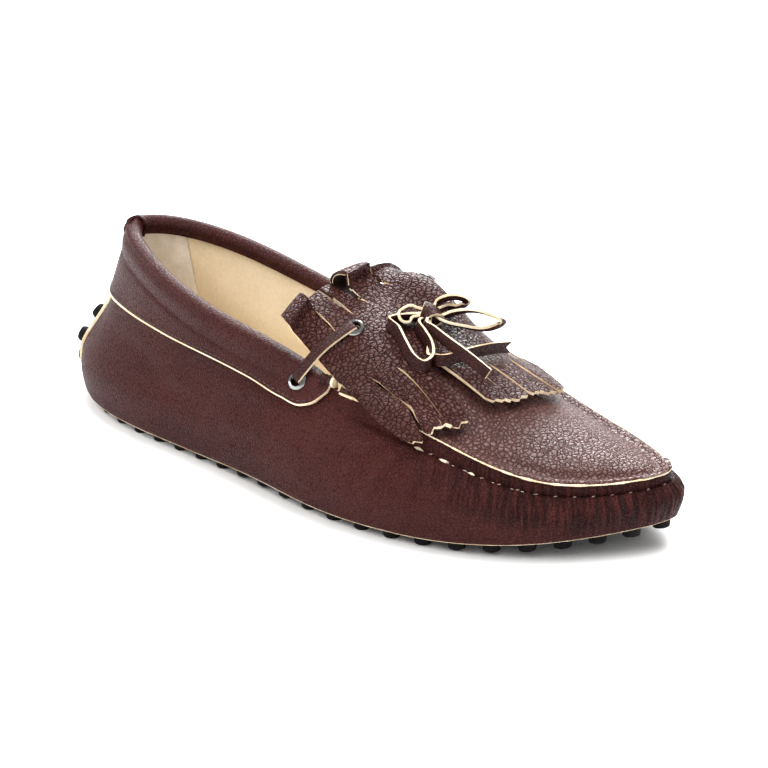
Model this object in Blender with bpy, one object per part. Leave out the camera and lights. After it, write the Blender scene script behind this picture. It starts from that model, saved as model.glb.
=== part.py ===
"""Kiltie driving moccasin, the right shoe of a pair, in Blender 4.5.

Metres, +Z up. +X runs from heel to toe, +Y to the medial side (the big toe), -Y to the lateral
side. The shoe stands on its rubber studs at z = 0, centred on its box in plan.

A soft wall wraps round the foot from a turned-under edge at the sole. It ends above in the topline
round the heel and in a raised seam round the toe, where the apron is sewn on.
"""

import math

import bmesh
import bpy
import numpy as np
from mathutils import Matrix, Vector
from mathutils.bvhtree import BVHTree

# Driving dimensions
LENGTH = 0.285
BALL_WIDTH = 0.101
COLLAR_HEIGHT = 0.071
WALL = 0.0018
GAP = 0.0003

# The sole: a rubber plate with studs
STUD_HEIGHT = 0.0042
STUD_RADIUS = 0.0038
STUD_TAPER = 0.86
STUD_PITCH = 0.0126
STUD_EDGE = 0.0076
STUD_PHASE = 0.1
INNER_PITCH = 0.0165
STUD_ROOT = 0.0012
SECOND_ROW = 0.0118
SECOND_PITCH = 0.0135
ROW_STEP = 0.0130
STUD_SPACE = 0.0112
PLATE_THICK = 0.0022
TURN_UNDER = 0.0016
EDGE_INSET = 0.0007
EDGE_RISE = 0.0028
SEAT = 0.0001
ARCH_RISE = 0.0012
TOE_SPRING = 0.0085
HEEL_RISE = 0.0055
# Shares of LENGTH where spring, heel rise and arch start or end
SPRING_FROM = 0.72
HEEL_TO = 0.10
ARCH_FROM = 0.34
ARCH_LONG = 0.28
STUDS_FROM = 0.084

# The insole
INSOLE_THICK = 0.0020
INSOLE_EASE = 0.0025

# The raised seam round the apron
RIDGE_HEIGHT = 0.0022
RIDGE_WIDTH = 0.0024
RIDGE_FOOT = 0.0018

# Shares of LENGTH along, and of BALL_WIDTH across (medial is positive)
OUTLINE = (
    # place, along, across
    ("heel back", 0.012, 0.000),
    ("heel medial", 0.040, 0.182),
    ("seat medial", 0.115, 0.315),
    ("waist medial", 0.360, 0.325),
    ("ball medial", 0.675, 0.490),
    ("toe medial", 0.862, 0.442),
    ("tip medial", 0.955, 0.327),
    ("toe tip", 1.000, 0.170),
    ("tip lateral", 0.970, -0.014),
    ("toe lateral", 0.860, -0.310),
    ("ball lateral", 0.640, -0.500),
    ("waist lateral", 0.360, -0.430),
    ("seat lateral", 0.115, -0.335),
    ("heel lateral", 0.040, -0.195),
)

# Wall sections round the shoe. "at" is the share round from the heel back by the lateral side, with
# the toe tip at one half. Heights from the sole are shares of COLLAR_HEIGHT, and insets from the
# outline are shares of BALL_WIDTH.
SECTIONS = (
    # place, at, belly height, mid inset, mid height, top inset, top height
    ("heel back", 0.000, 0.169, 0.119, 0.507, 0.238, 1.000),
    ("heel lateral", 0.070, 0.197, 0.109, 0.479, 0.223, 0.951),
    ("waist lateral", 0.180, 0.211, 0.042, 0.437, 0.117, 0.775),
    ("corner lateral", 0.262, 0.225, 0.054, 0.423, 0.158, 0.627),
    ("ball lateral", 0.340, 0.211, 0.045, 0.366, 0.131, 0.507),
    ("toe lateral", 0.430, 0.148, 0.018, 0.190, 0.061, 0.268),
    ("toe tip", 0.500, 0.120, 0.015, 0.162, 0.061, 0.225),
    ("toe medial", 0.570, 0.162, 0.030, 0.232, 0.097, 0.318),
    ("ball medial", 0.660, 0.211, 0.045, 0.366, 0.119, 0.514),
    ("corner medial", 0.738, 0.225, 0.054, 0.423, 0.137, 0.648),
    ("waist medial", 0.820, 0.211, 0.045, 0.437, 0.084, 0.838),
    ("heel medial", 0.930, 0.183, 0.084, 0.493, 0.188, 0.993),
)

# The apron's rise over a straight line between its two seams, in shares of COLLAR_HEIGHT
CROWN = (
    # place, share of the way from throat to toe tip, rise
    ("throat", 0.00, 0.246),
    ("vamp", 0.35, 0.169),
    ("toe", 0.80, 0.070),
    ("tip", 1.00, 0.000),
)
CROWN_POWER = 2.1

# The collar band. Its lower edge is given up the wall, where 1 is the topline.
BAND_LOW = (
    # column from the heel back, rise
    (0.0, 0.70),
    (5.0, 0.735),
    (9.0, 0.775),
    (12.0, 0.80),
    (14.0, 0.79),
    (15.8, 0.77),
    (16.8, 0.79),
    (17.3, 0.86),
    (17.6, 0.955),
)
BAND_THICK = 0.0015
BAND_CLEAR = 0.0005
FLAP_CLEAR = 0.0009
BAND_END = 17.6
ROLL_HEIGHT = 0.0030

# The heel patch and its studs
PATCH_THICK = 0.0015
PATCH_LOW = 0.075
PATCH_HIGH = 0.62
PATCH_HALF = 1.85
PATCH_TOP_HALF = 1.12
PATCH_STUD_TALL = 0.0038
# Rise and column of each stud on the patch
PATCH_STUDS = (
    (0.17, -0.95),
    (0.17, 0.0),
    (0.17, 0.95),
    (0.32, -0.95),
    (0.32, 0.0),
    (0.32, 0.95),
    (0.47, -0.5),
    (0.47, 0.5),
)

# The kiltie. Places along are shares of LENGTH from the heel, and places across shares of BALL_WIDTH.
KILTIE_THICK = 0.0014
TONGUE_LIFT = 0.0014
KILTIE_LIFT = 0.0034
KILTIE_SLIT = 0.0006
TONGUE_NARROW = 0.86
# The tongue's back edge: along, height of its ends and rise of its middle (of COLLAR_HEIGHT), half its width
TONGUE_BACK = (0.4737, 0.817, 0.183, 0.327)
# The instep stands highest on the medial side, under the kiltie's back
SWELL_RISE = 0.0150
SWELL_AT = (0.5825, 0.188)
SWELL_REACH = (0.070, 0.119)
FOLD_AT = 0.4912
THROAT_AT = 0.5789
HALF_WAY_ON = 0.0105
TONGUE_ROWS = (0.6018, 0.5719, 0.5404)
FORWARD_ROWS = (0.5298, 0.5544, 0.5825, 0.6105, 0.6386, 0.6702, 0.7018)
STRIP_END = 0.0012
# Boundaries between the fringe's strips
FRINGE = (
    # across at the fold, the throat, half way to the end and the end; end along; root of the slit along
    (-0.287, -0.322, -0.364, -0.376, 0.7123, 0.0),
    (-0.218, -0.259, -0.295, -0.341, 0.7316, 0.6316),
    (-0.153, -0.193, -0.221, -0.271, 0.7509, 0.6491),
    (-0.104, -0.134, -0.149, -0.196, 0.7596, 0.6596),
    (-0.050, -0.035, -0.022, -0.030, 0.7807, 0.7123),
    (0.005, 0.025, 0.045, 0.054, 0.7842, 0.7193),
    (0.064, 0.089, 0.114, 0.124, 0.7895, 0.7228),
    (0.109, 0.139, 0.173, 0.198, 0.7937, 0.7193),
    (0.149, 0.178, 0.226, 0.261, 0.7860, 0.7018),
    (0.186, 0.220, 0.277, 0.307, 0.7649, 0.6772),
    (0.223, 0.295, 0.325, 0.351, 0.7298, 0.0),
)
# The boundary that opens to a gap, with its medial side half way and at the end
FRINGE_GAP = (3, -0.109, -0.111)
# Boundaries, counted in half strips, where the fold is slit, with the loops' radii and backs between them
FOLD_SLITS = (3, 6, 8, 12)
FOLD_RADII = (0.0048, 0.0014, 0.0014, 0.0050, 0.0036)
FOLD_BACK = (0.4737, 0.4825, 0.4825, 0.4825, 0.4912)
FOLD_LONG = 1.15
FOLD_LEAN = 0.5
FOLD_FADE = 0.063

# Eyelets and lace
EYELET_FLANGE = 0.0040
EYELET_BORE = 0.0021
LACE_WIDTH = 0.0044
LACE_THICK = 0.0012
# How far each lace bar stands off its eyelets and arches between them
BAR_RISES = {"lateral": (0.0024, 0.0024), "medial": (0.0027, 0.0076)}
# Column and rise on the band, and along and across on the kiltie
BAND_EYELET = (16.2, 0.915)
KILTIE_EYELET = (0.5691, 0.170)
KNOT = (0.1814, 0.0034, 0.0691)
KNOT_SIZE = (0.0042, 0.0040, 0.0032)

# Counts in the faceted solids
COLUMNS = 64
THROAT_COLUMN = 18
FOLD_ROWS = 6


def closed_spline(points, count):
    """Points along a closed cubic spline through the given plan points."""
    knots = np.asarray(points, float)
    size = len(knots)
    gaps = np.linalg.norm(np.roll(knots, -1, 0) - knots, axis=1)
    matrix = np.zeros((size, size))
    right = np.zeros((size, 2))
    for i in range(size):
        before, after = gaps[i - 1], gaps[i]
        matrix[i, (i - 1) % size] += before / 6
        matrix[i, i] += (before + after) / 3
        matrix[i, (i + 1) % size] += after / 6
        right[i] = (knots[(i + 1) % size] - knots[i]) / after - (knots[i] - knots[i - 1]) / before
    bends = np.linalg.solve(matrix, right)
    steps = max(4, count // size)
    found = []
    for i in range(size):
        j = (i + 1) % size
        for b in np.linspace(0, 1, steps, endpoint=False):
            a = 1 - b
            bend = ((a**3 - a) * bends[i] + (b**3 - b) * bends[j]) * gaps[i] ** 2 / 6
            found.append(a * knots[i] + b * knots[j] + bend)
    return np.array(found)


class Outline:
    """The widest plan outline. A share of 0 is the heel back and 0.5 the toe tip, by the lateral side."""

    def __init__(self):
        knots = [(along * LENGTH, across * BALL_WIDTH) for _, along, across in OUTLINE]
        line = closed_spline(knots, 2800)
        line = np.vstack([line, line[:1]])[::-1]
        self.line = line
        steps = np.linalg.norm(np.diff(line, axis=0), axis=1)
        self.run = np.r_[0, np.cumsum(steps)]
        self.tip_run = self.run[np.argmax(line[:, 0])]

    def at_run(self, run):
        """The plan point at an arc length from the heel back."""
        run = run % self.run[-1]
        return np.array([np.interp(run, self.run, self.line[:, k]) for k in (0, 1)])

    def run_of(self, share):
        """The arc length at a share round the outline."""
        share = share % 1.0
        if share < 0.5:
            return 2 * share * self.tip_run
        return self.tip_run + (2 * share - 1) * (self.run[-1] - self.tip_run)

    def point_and_normal(self, share):
        """The plan point at a share, and the outward direction there."""
        run = self.run_of(share)
        reach = 0.002
        along = self.at_run(run + reach) - self.at_run(run - reach)
        along /= np.linalg.norm(along)
        return self.at_run(run), np.array([along[1], -along[0]])


OUTER = Outline()


def hermite(ats, values, at):
    """A smooth curve through the values at rising ats, read at one place."""
    i = int(np.clip(np.searchsorted(ats, at, side="right") - 1, 0, len(ats) - 2))

    def slope(k):
        if k in (0, len(ats) - 1):
            a, b = (0, 1) if k == 0 else (-2, -1)
            return (values[b] - values[a]) / (ats[b] - ats[a])
        low = (values[k] - values[k - 1]) / (ats[k] - ats[k - 1])
        high = (values[k + 1] - values[k]) / (ats[k + 1] - ats[k])
        share = (ats[k] - ats[k - 1]) / (ats[k + 1] - ats[k - 1])
        return low * (1 - share) + high * share

    width = ats[i + 1] - ats[i]
    t = (at - ats[i]) / width
    start = (2 * t**3 - 3 * t**2 + 1) * values[i] + (t**3 - 2 * t**2 + t) * width * slope(i)
    end = (3 * t**2 - 2 * t**3) * values[i + 1] + (t**3 - t**2) * width * slope(i + 1)
    return start + end


def round_the_shoe(table, share):
    """The columns of a table of sections, read at a share round the shoe."""
    ats = np.array([row[1] for row in table])
    values = np.array([row[2:] for row in table])
    ats = np.r_[ats[-2:] - 1, ats, ats[:2] + 1]
    values = np.vstack([values[-2:], values, values[:2]])
    return hermite(ats, values, share % 1.0)


def along_table(table, at):
    """The value of a table of places along a line."""
    ats = np.array([row[1] for row in table])
    values = np.array([row[2] for row in table])
    return float(hermite(ats, values, at))


def sole_height(x):
    """Height of the leather's underside over the floor: flat under heel and ball, with arch and spring."""
    s = x / LENGTH
    spring = TOE_SPRING * max(0.0, (s - SPRING_FROM) / (1 - SPRING_FROM)) ** 2
    heel = HEEL_RISE * max(0.0, (HEEL_TO - s) / HEEL_TO) ** 1.8
    way = min(max((s - ARCH_FROM) / ARCH_LONG, 0.0), 1.0)
    arch = ARCH_RISE * max(0.0, math.sin(math.pi * way)) ** 2
    return STUD_HEIGHT + spring + heel + arch


def wall_point(share, rise):
    """The outer face of the wall. rise is 0 at the turned-under edge and 1 at the top edge."""
    belly, mid_in, mid_up, top_in, top_up = round_the_shoe(SECTIONS, share)
    profile = np.array(
        [
            (TURN_UNDER, SEAT),
            (EDGE_INSET, EDGE_RISE),
            (0.0, belly * COLLAR_HEIGHT),
            (mid_in * BALL_WIDTH, mid_up * COLLAR_HEIGHT),
            (top_in * BALL_WIDTH, top_up * COLLAR_HEIGHT),
        ]
    )
    steps = np.linalg.norm(np.diff(profile, axis=0), axis=1)
    ats = np.r_[0, np.cumsum(np.sqrt(steps))]
    inset, up = hermite(ats / ats[-1], profile, rise)
    plan, outward = OUTER.point_and_normal(share)
    x, y = plan - outward * inset
    return np.array([x, y, sole_height(x) + up])


def finish_collection(name):
    """A new collection in the scene."""
    collection = bpy.data.collections.new(name)
    bpy.context.scene.collection.children.link(collection)
    return collection


def new_material(name, colour, roughness, metallic=0.0):
    """A plain Principled material."""
    material = bpy.data.materials.new(name)
    material.use_nodes = True
    shader = material.node_tree.nodes["Principled BSDF"]
    shader.inputs["Base Color"].default_value = (*colour, 1.0)
    shader.inputs["Roughness"].default_value = roughness
    shader.inputs["Metallic"].default_value = metallic
    return material


def mesh_object(name, vertices, faces, collection, material=None, sharp=40):
    """One closed mesh object with its faces pointing out."""
    mesh = bpy.data.meshes.new(name)
    mesh.from_pydata([tuple(v) for v in vertices], [], faces)
    work = bmesh.new()
    work.from_mesh(mesh)
    bmesh.ops.recalc_face_normals(work, faces=work.faces)
    work.to_mesh(mesh)
    work.free()
    mesh.shade_smooth()
    mesh.set_sharp_from_angle(angle=math.radians(sharp))
    obj = bpy.data.objects.new(name, mesh)
    collection.objects.link(obj)
    if material:
        mesh.materials.append(material)
    return obj


def smooth_normals(vertices, faces):
    """A unit normal at each vertex, weighted by the area of the faces round it."""
    found = np.zeros((len(vertices), 3))
    for face in faces:
        corners = vertices[list(face)]
        if len(face) == 4:
            area = np.cross(corners[2] - corners[0], corners[3] - corners[1])
        else:
            area = np.cross(corners[1] - corners[0], corners[2] - corners[0])
        for k in face:
            found[k] += area
    return found / np.linalg.norm(found, axis=1)[:, None]


class Skin:
    """The outer face of the upper as a grid: columns up the wall, then rungs across the apron.

    Attributes:
        base: points of the plain form, without the raised seam.
        normals: outward unit normals of the plain form.
        faces: the grid's faces, wound to point out.
        wall: vertex number of each column and row of the wall.
        rungs: vertex numbers of each rung, from the lateral to the medial seam.
    """

    def __init__(self, columns, rises, rung_shares):
        self.columns = columns
        self.throat = round(THROAT_COLUMN * columns / COLUMNS)
        self.rises = rises
        points = []
        self.wall = np.zeros((columns, len(rises)), int)
        for i in range(columns):
            for k, rise in enumerate(rises):
                self.wall[i, k] = len(points)
                points.append(wall_point(i / columns, rise))
        self.rungs = []
        half = columns // 2
        for j in range(half - self.throat):
            left, right = self.wall[self.throat + j, -1], self.wall[columns - self.throat - j, -1]
            crown = along_table(CROWN, j / (half - self.throat)) * COLLAR_HEIGHT
            start, end = points[left], points[right]
            shares = rung_shares(np.linalg.norm(end - start))
            rung = [left]
            for w in shares[1:-1]:
                rung.append(len(points))
                lift = crown * (1 - abs(2 * w - 1) ** CROWN_POWER)
                points.append(start * (1 - w) + end * w + np.array([0, 0, lift]))
            self.rungs.append(rung + [right])
        self.tip = self.wall[half, -1]
        self.base = np.array(points)
        self.faces = self.wall_faces() + self.apron_faces()
        self.normals = smooth_normals(self.base, self.faces)

    def wall_faces(self):
        """Quads up the wall."""
        faces = []
        for i in range(self.columns):
            j = (i + 1) % self.columns
            for k in range(len(self.rises) - 1):
                a, b = self.wall[i, k], self.wall[j, k]
                faces.append((a, b, self.wall[j, k + 1], self.wall[i, k + 1]))
        return faces

    def apron_faces(self):
        """Quads between the rungs, and a fan at the toe tip."""
        faces = []
        for near, far in zip(self.rungs, self.rungs[1:]):
            for m in range(len(near) - 1):
                faces.append((near[m], far[m], far[m + 1], near[m + 1]))
        last = self.rungs[-1]
        for m in range(len(last) - 1):
            faces.append((last[m], self.tip, last[m + 1]))
        return faces

    def mouth(self):
        """Vertex numbers round the collar and throat, from the lateral corner by the heel."""
        top = [self.wall[i, -1] for i in range(self.throat, -1, -1)]
        top += [self.wall[i, -1] for i in range(self.columns - 1, self.columns - self.throat - 1, -1)]
        return top + self.rungs[0][-2:0:-1]

    def foot(self):
        """Vertex numbers round the turned-under edge."""
        return [self.wall[i, 0] for i in range(self.columns)]

    def ridged(self):
        """The points with the raised seam and the crease below it."""
        points = self.base.copy()
        for j, rung in enumerate(self.rungs):
            fade = min(1.0, j / 1.5)
            for k in (0, 1, -2, -1):
                points[rung[k]] += self.normals[rung[k]] * RIDGE_HEIGHT * fade * 0.35
                points[rung[k], 2] += RIDGE_HEIGHT * fade * 0.75
            for i in (self.throat + j, self.columns - self.throat - j):
                crease = self.wall[i, -2]
                points[crease] -= self.normals[crease] * RIDGE_HEIGHT * fade * 0.30
        points[self.tip, 2] += RIDGE_HEIGHT
        crease = self.wall[self.columns // 2, -2]
        points[crease] -= self.normals[crease] * RIDGE_HEIGHT * 0.30
        return points

    def inner(self, depth):
        """The points of the plain form moved inwards. The turned-under edge moves level, so it ends flat."""
        points = self.base - self.normals * depth
        for i, k in enumerate(self.foot()):
            outward = OUTER.point_and_normal(i / self.columns)[1]
            points[k] = self.base[k] - np.array([*outward, 0]) * depth
        return points


WALL_RISES = (0.0, 0.13, 0.28, 0.44, 0.60, 0.76, 0.90, 1.0)


def rung_shares(length):
    """Places across a rung, with narrow steps at the seams for the ridge."""
    top = min(RIDGE_WIDTH / length, 0.14)
    foot = min((RIDGE_WIDTH + RIDGE_FOOT) / length, 0.25)
    return [0, top, foot, 0.32, 0.5, 0.68, 1 - foot, 1 - top, 1]


def build_upper(collection, material):
    """The upper: one hollow wall, open at the collar and throat and under the foot."""
    skin = Skin(COLUMNS, WALL_RISES, rung_shares)
    count = len(skin.base)
    vertices = np.vstack([skin.ridged(), skin.inner(WALL)])
    faces = list(skin.faces)
    faces += [tuple(k + count for k in reversed(face)) for face in skin.faces]
    for loop in (skin.mouth(), skin.foot()):
        for a, b in zip(loop, loop[1:] + loop[:1]):
            faces.append((a, b, b + count, a + count))
    return skin, mesh_object("upper", vertices, faces, collection, material)


def plate_mesh(inset_low, inset_high, low, high):
    """A flat layer over the sole's outline: rings of points at two heights over the sole's own curve."""
    rings = []
    for inset, lift in ((inset_low, low), (inset_high, high)):
        ring = []
        for i in range(COLUMNS):
            plan, outward = OUTER.point_and_normal(i / COLUMNS)
            x, y = plan - outward * inset
            ring.append((x, y, sole_height(x) + lift))
        rings.append(ring)
    vertices = rings[0] + rings[1]
    half = COLUMNS // 2
    faces = []
    for i in range(COLUMNS):
        j = (i + 1) % COLUMNS
        faces.append((i, j, j + COLUMNS, i + COLUMNS))
    for level in (0, COLUMNS):
        for i in range(half):
            a, b = level + i, level + i + 1
            c, d = level + (COLUMNS - i - 1) % COLUMNS, level + (COLUMNS - i) % COLUMNS
            faces.append(tuple(dict.fromkeys((a, b, c, d))))
    return vertices, faces


def stud_places():
    """Plan points of the studs: a row along the edge, then rows further in, kept clear of each other."""
    places = []
    second = STUD_EDGE + SECOND_ROW
    rows = [(STUD_EDGE, STUD_PITCH, STUD_PHASE), (second, SECOND_PITCH, 0.0)]
    rows += [(second + k * ROW_STEP, INNER_PITCH, 0.5 * (k % 2)) for k in (1, 2, 3)]
    for row, (inset, pitch, phase) in enumerate(rows):
        ring = []
        for share in np.linspace(0, 1, 721)[:-1]:
            plan, outward = OUTER.point_and_normal(share)
            ring.append(plan - outward * inset)
        ring = np.array(ring + ring[:1])
        run = np.r_[0, np.cumsum(np.linalg.norm(np.diff(ring, axis=0), axis=1))]
        count = round(run[-1] / pitch)
        for k in range(count):
            at = (k + phase) * run[-1] / count
            place = np.array([np.interp(at, run, ring[:, c]) for c in (0, 1)])
            edge = np.min(np.linalg.norm(OUTER.line - place, axis=1))
            clear = all(np.linalg.norm(place - other[0]) > STUD_SPACE for other in places)
            if edge > inset - 0.0005 and clear and place[0] > STUDS_FROM * LENGTH:
                places.append((place, row == 0))
    return places


def stud_mesh(places):
    """All the studs as one mesh of tapered cylinders, square to the sole's own curve."""
    work = bmesh.new()
    for (x, y), at_edge in places:
        reach = 0.001
        slope = (sole_height(x + reach) - sole_height(x - reach)) / (2 * reach)
        turn = Matrix.Rotation(-math.atan(slope), 4, "Y")
        sides = 8 if at_edge else 6
        height = STUD_HEIGHT + STUD_ROOT
        middle = Vector((0, 0, STUD_ROOT - height / 2))
        tilt = abs(math.atan(slope))
        reach_down = STUD_HEIGHT * math.cos(tilt) + STUD_RADIUS * STUD_TAPER * math.sin(tilt)
        base = max(sole_height(x), reach_down)
        place = Matrix.Translation((x, y, base)) @ turn @ Matrix.Translation(middle)
        bmesh.ops.create_cone(
            work,
            cap_ends=True,
            segments=sides,
            radius1=STUD_RADIUS * STUD_TAPER,
            radius2=STUD_RADIUS,
            depth=height,
            matrix=place @ Matrix.Rotation(math.pi / sides, 4, "Z"),
        )
    mesh = bpy.data.meshes.new("studs")
    work.to_mesh(mesh)
    work.free()
    return mesh


def helper_object(name, mesh, helpers):
    """A cutter or joined helper that isn't a piece of the shoe."""
    obj = bpy.data.objects.new(name, mesh)
    helpers.objects.link(obj)
    obj.hide_render = True
    obj.display_type = "WIRE"
    return obj


def add_boolean(obj, operation, other):
    """Joins or cuts obj with other."""
    modifier = obj.modifiers.new(operation.lower(), "BOOLEAN")
    modifier.operation = operation
    modifier.object = other


def build_outsole(collection, helpers, material):
    """The rubber plate that closes the upper underneath, with its studs."""
    edge = TURN_UNDER + WALL + GAP
    vertices, faces = plate_mesh(edge, edge, SEAT, PLATE_THICK)
    plate = mesh_object("outsole", vertices, faces, collection, material)
    studs = helper_object("outsole_studs", stud_mesh(stud_places()), helpers)
    add_boolean(plate, "UNION", studs)


def build_insole(collection, material):
    """The insole, on the plate."""
    inset = WALL + INSOLE_EASE
    low = PLATE_THICK + GAP
    vertices, faces = plate_mesh(inset, inset, low, low + INSOLE_THICK)
    return mesh_object("insole", vertices, faces, collection, material)


def edge_loops(faces):
    """The directed border edges of a sheet."""
    seen = set()
    for face in faces:
        for a, b in zip(face, face[1:] + face[:1]):
            seen.add((a, b))
    return [(a, b) for a, b in seen if (b, a) not in seen]


def thicken(points, faces, normals, thickness):
    """A closed solid round a sheet: half its thickness to each side, with rims."""
    count = len(points)
    vertices = np.vstack([points + normals * thickness / 2, points - normals * thickness / 2])
    solid = list(faces) + [tuple(k + count for k in reversed(face)) for face in faces]
    for a, b in sorted(edge_loops(faces)):
        solid.append((b, a, a + count, b + count))
    return vertices, solid


def on_skin(skin, column, rise):
    """The point and normal on the upper's faceted form at a column and rise, both free."""
    low, part = int(math.floor(column)), column - math.floor(column)
    row = min(int(np.searchsorted(skin.rises, rise, "right")) - 1, len(skin.rises) - 2)
    up = (rise - skin.rises[row]) / (skin.rises[row + 1] - skin.rises[row])
    point, normal = np.zeros(3), np.zeros(3)
    for i, share in ((low, 1 - part), (low + 1, part)):
        for k, weight in ((row, 1 - up), (row + 1, up)):
            index = skin.wall[i % skin.columns, k]
            point += skin.base[index] * share * weight
            normal += skin.normals[index] * share * weight
    return point, normal / np.linalg.norm(normal)


def band_section(skin, column):
    """One closed section of the collar band, from the outer flap's low edge over the roll and back."""
    low = float(np.interp(abs(column), *zip(*BAND_LOW)))
    end = max(0.0, abs(column) - (BAND_END - 0.9)) / 0.9
    thick = BAND_THICK
    rises = [low] + [r for r in skin.rises if r > 0.7 and r < 1.0] + [1.0]
    rises = sorted(max(r, low + 0.004 * k) for k, r in enumerate(rises))
    outer = [on_skin(skin, column, min(r, 1.0)) for r in rises]
    top, normal = outer[-1]
    under, _ = on_skin(skin, column, 0.92)
    climb = (top - under) / np.linalg.norm(top - under)
    reach = WALL + FLAP_CLEAR
    middle = (BAND_CLEAR - reach) / 2
    radius = (BAND_CLEAR + reach) / 2 + thick
    roll = ROLL_HEIGHT * (1 - 0.25 * end)
    path = [p + n * (BAND_CLEAR + thick) for p, n in outer]
    back = [p + n * BAND_CLEAR for p, n in outer]
    for angle, across in ((45, BAND_CLEAR), (90, middle), (135, -reach)):
        a = math.radians(angle)
        path.append(top + normal * (middle + radius * math.cos(a)) + climb * roll * math.sin(a))
        back.append(top + normal * across + climb * FLAP_CLEAR)
    for r in (1.0, 0.955, 0.90):
        p, n = on_skin(skin, column, min(1.0, max(r, low + 0.02)))
        path.append(p - n * (reach + thick))
        back.append(p - n * reach)
    return path + back[::-1]


def loft(sections):
    """A solid through equal closed sections. Each runs out along one side and back along the other."""
    count = len(sections[0])
    vertices = [p for section in sections for p in section]
    faces = []
    for k in range(len(sections) - 1):
        for m in range(count):
            a, b = k * count + m, k * count + (m + 1) % count
            faces.append((a, b, b + count, a + count))
    for start, flip in ((0, False), ((len(sections) - 1) * count, True)):
        for m in range(count // 2 - 1):
            quad = (start + m, start + m + 1, start + count - 2 - m, start + count - 1 - m)
            faces.append(quad[::-1] if flip else quad)
    return vertices, faces


def build_collar_band(skin, collection, material):
    """The band folded over the topline, from one throat corner round the heel to the other."""
    columns = [-BAND_END, -17.3, -17.0] + list(range(-16, 17)) + [17.0, 17.3, BAND_END]
    vertices, faces = loft([band_section(skin, c) for c in columns])
    return mesh_object("collar_band", vertices, faces, collection, material)


def patch_half(rise):
    """Half the heel patch's width in columns at a rise."""
    share = (rise - PATCH_LOW) / (PATCH_HIGH - PATCH_LOW)
    shoulder = math.sqrt(max(0.0, 1 - max(0.0, (share - 0.72) / 0.285) ** 2.5))
    return max(PATCH_HALF * (1 - 0.22 * share) * shoulder, PATCH_TOP_HALF)


def build_heel_patch(skin, collection, helpers, material):
    """The tab up the heel back, with its studs."""
    rises = [r for r in skin.rises if PATCH_LOW < r < PATCH_HIGH - 0.03]
    rises = [PATCH_LOW] + rises + [0.57, 0.60, PATCH_HIGH]
    points, normals, faces = [], [], []
    for r in sorted(set(rises)):
        for column in (-patch_half(r), -1.0, 0.0, 1.0, patch_half(r)):
            p, n = on_skin(skin, column, r)
            points.append(p + n * (GAP + PATCH_THICK / 2))
            normals.append(n)
    across = 5
    for k in range(len(points) // across - 1):
        for m in range(across - 1):
            a = k * across + m
            faces.append((a, a + 1, a + 1 + across, a + across))
    vertices, solid = thicken(np.array(points), faces, np.array(normals), PATCH_THICK)
    patch = mesh_object("heel_patch", vertices, solid, collection, material)
    work = bmesh.new()
    for rise, column in PATCH_STUDS:
        p, n = on_skin(skin, column, rise)
        turn = Vector(n).to_track_quat("Z", "Y").to_matrix().to_4x4()
        foot = GAP + PATCH_THICK / 2
        place = Matrix.Translation(Vector(p + n * (foot + PATCH_STUD_TALL / 2))) @ turn
        bmesh.ops.create_cone(
            work,
            cap_ends=True,
            segments=8,
            radius1=STUD_RADIUS * 0.95,
            radius2=STUD_RADIUS * 0.78,
            depth=PATCH_STUD_TALL,
            matrix=place,
        )
    mesh = bpy.data.meshes.new("patch_studs")
    work.to_mesh(mesh)
    work.free()
    add_boolean(patch, "UNION", helper_object("patch_studs", mesh, helpers))
    return patch


class Drape:
    """The surface under the kiltie: the apron with its seam, carried on behind the throat as the tongue."""

    def __init__(self, skin):
        points = [Vector(p) for p in skin.ridged()]
        faces = list(skin.faces)
        rung = skin.rungs[0]
        back, edge, crown, half = TONGUE_BACK
        back, half = back * LENGTH, half * BALL_WIDTH
        edge, crown = edge * COLLAR_HEIGHT, crown * COLLAR_HEIGHT
        throat_crown = CROWN[0][2] * COLLAR_HEIGHT
        previous = list(rung)
        start = np.array([points[k] for k in rung])
        left, right = start[0], start[-1]
        for k in range(1, 7):
            share = k / 5
            row = []
            for w, old in zip(rung_shares(np.linalg.norm(right - left)), start):
                x = old[0] + (back - old[0]) * share
                low = (1 - share) * (left[2] + (right[2] - left[2]) * w) + share * edge
                wide = (1 - share) * old[1] + share * (2 * w - 1) * half
                rise = (1 - share) * throat_crown + share * crown
                rise *= 1 - abs(2 * w - 1) ** CROWN_POWER
                row.append(len(points))
                points.append(Vector((x, wide, low + rise)))
            for m in range(len(row) - 1):
                faces.append((row[m], previous[m], previous[m + 1], row[m + 1]))
            previous = row
        self.tree = BVHTree.FromPolygons(points, faces)

    def at(self, x, y):
        """The highest point at a plan place, and its normal."""
        hit, normal, _, _ = self.tree.ray_cast(Vector((x, y, 0.2)), Vector((0, 0, -1)))
        if hit is None:
            near, normal, _, _ = self.tree.find_nearest(Vector((x, y, 0.05)))
            hit = near
        return np.array(hit), np.array(normal) * (1 if normal.z > 0 else -1)

    def lifted(self, x, y, lift):
        """A point above the plan place, along a normal smoothed over a few millimetres."""
        here, _ = self.at(x, y)
        total = np.zeros(3)
        for dx, dy in ((0, 0), (0.003, 0), (-0.003, 0), (0, 0.003), (0, -0.003)):
            total += self.at(x + dx, y + dy)[1]
        normal = total / np.linalg.norm(total)
        return here + normal * lift, normal


def swell(x, y):
    """How far the kiltie stands off over the high medial side of the instep."""
    along = (x / LENGTH - SWELL_AT[0]) / SWELL_REACH[0]
    across = (y / BALL_WIDTH - SWELL_AT[1]) / SWELL_REACH[1]
    return SWELL_RISE * math.exp(-(along**2) - across**2)


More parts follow.
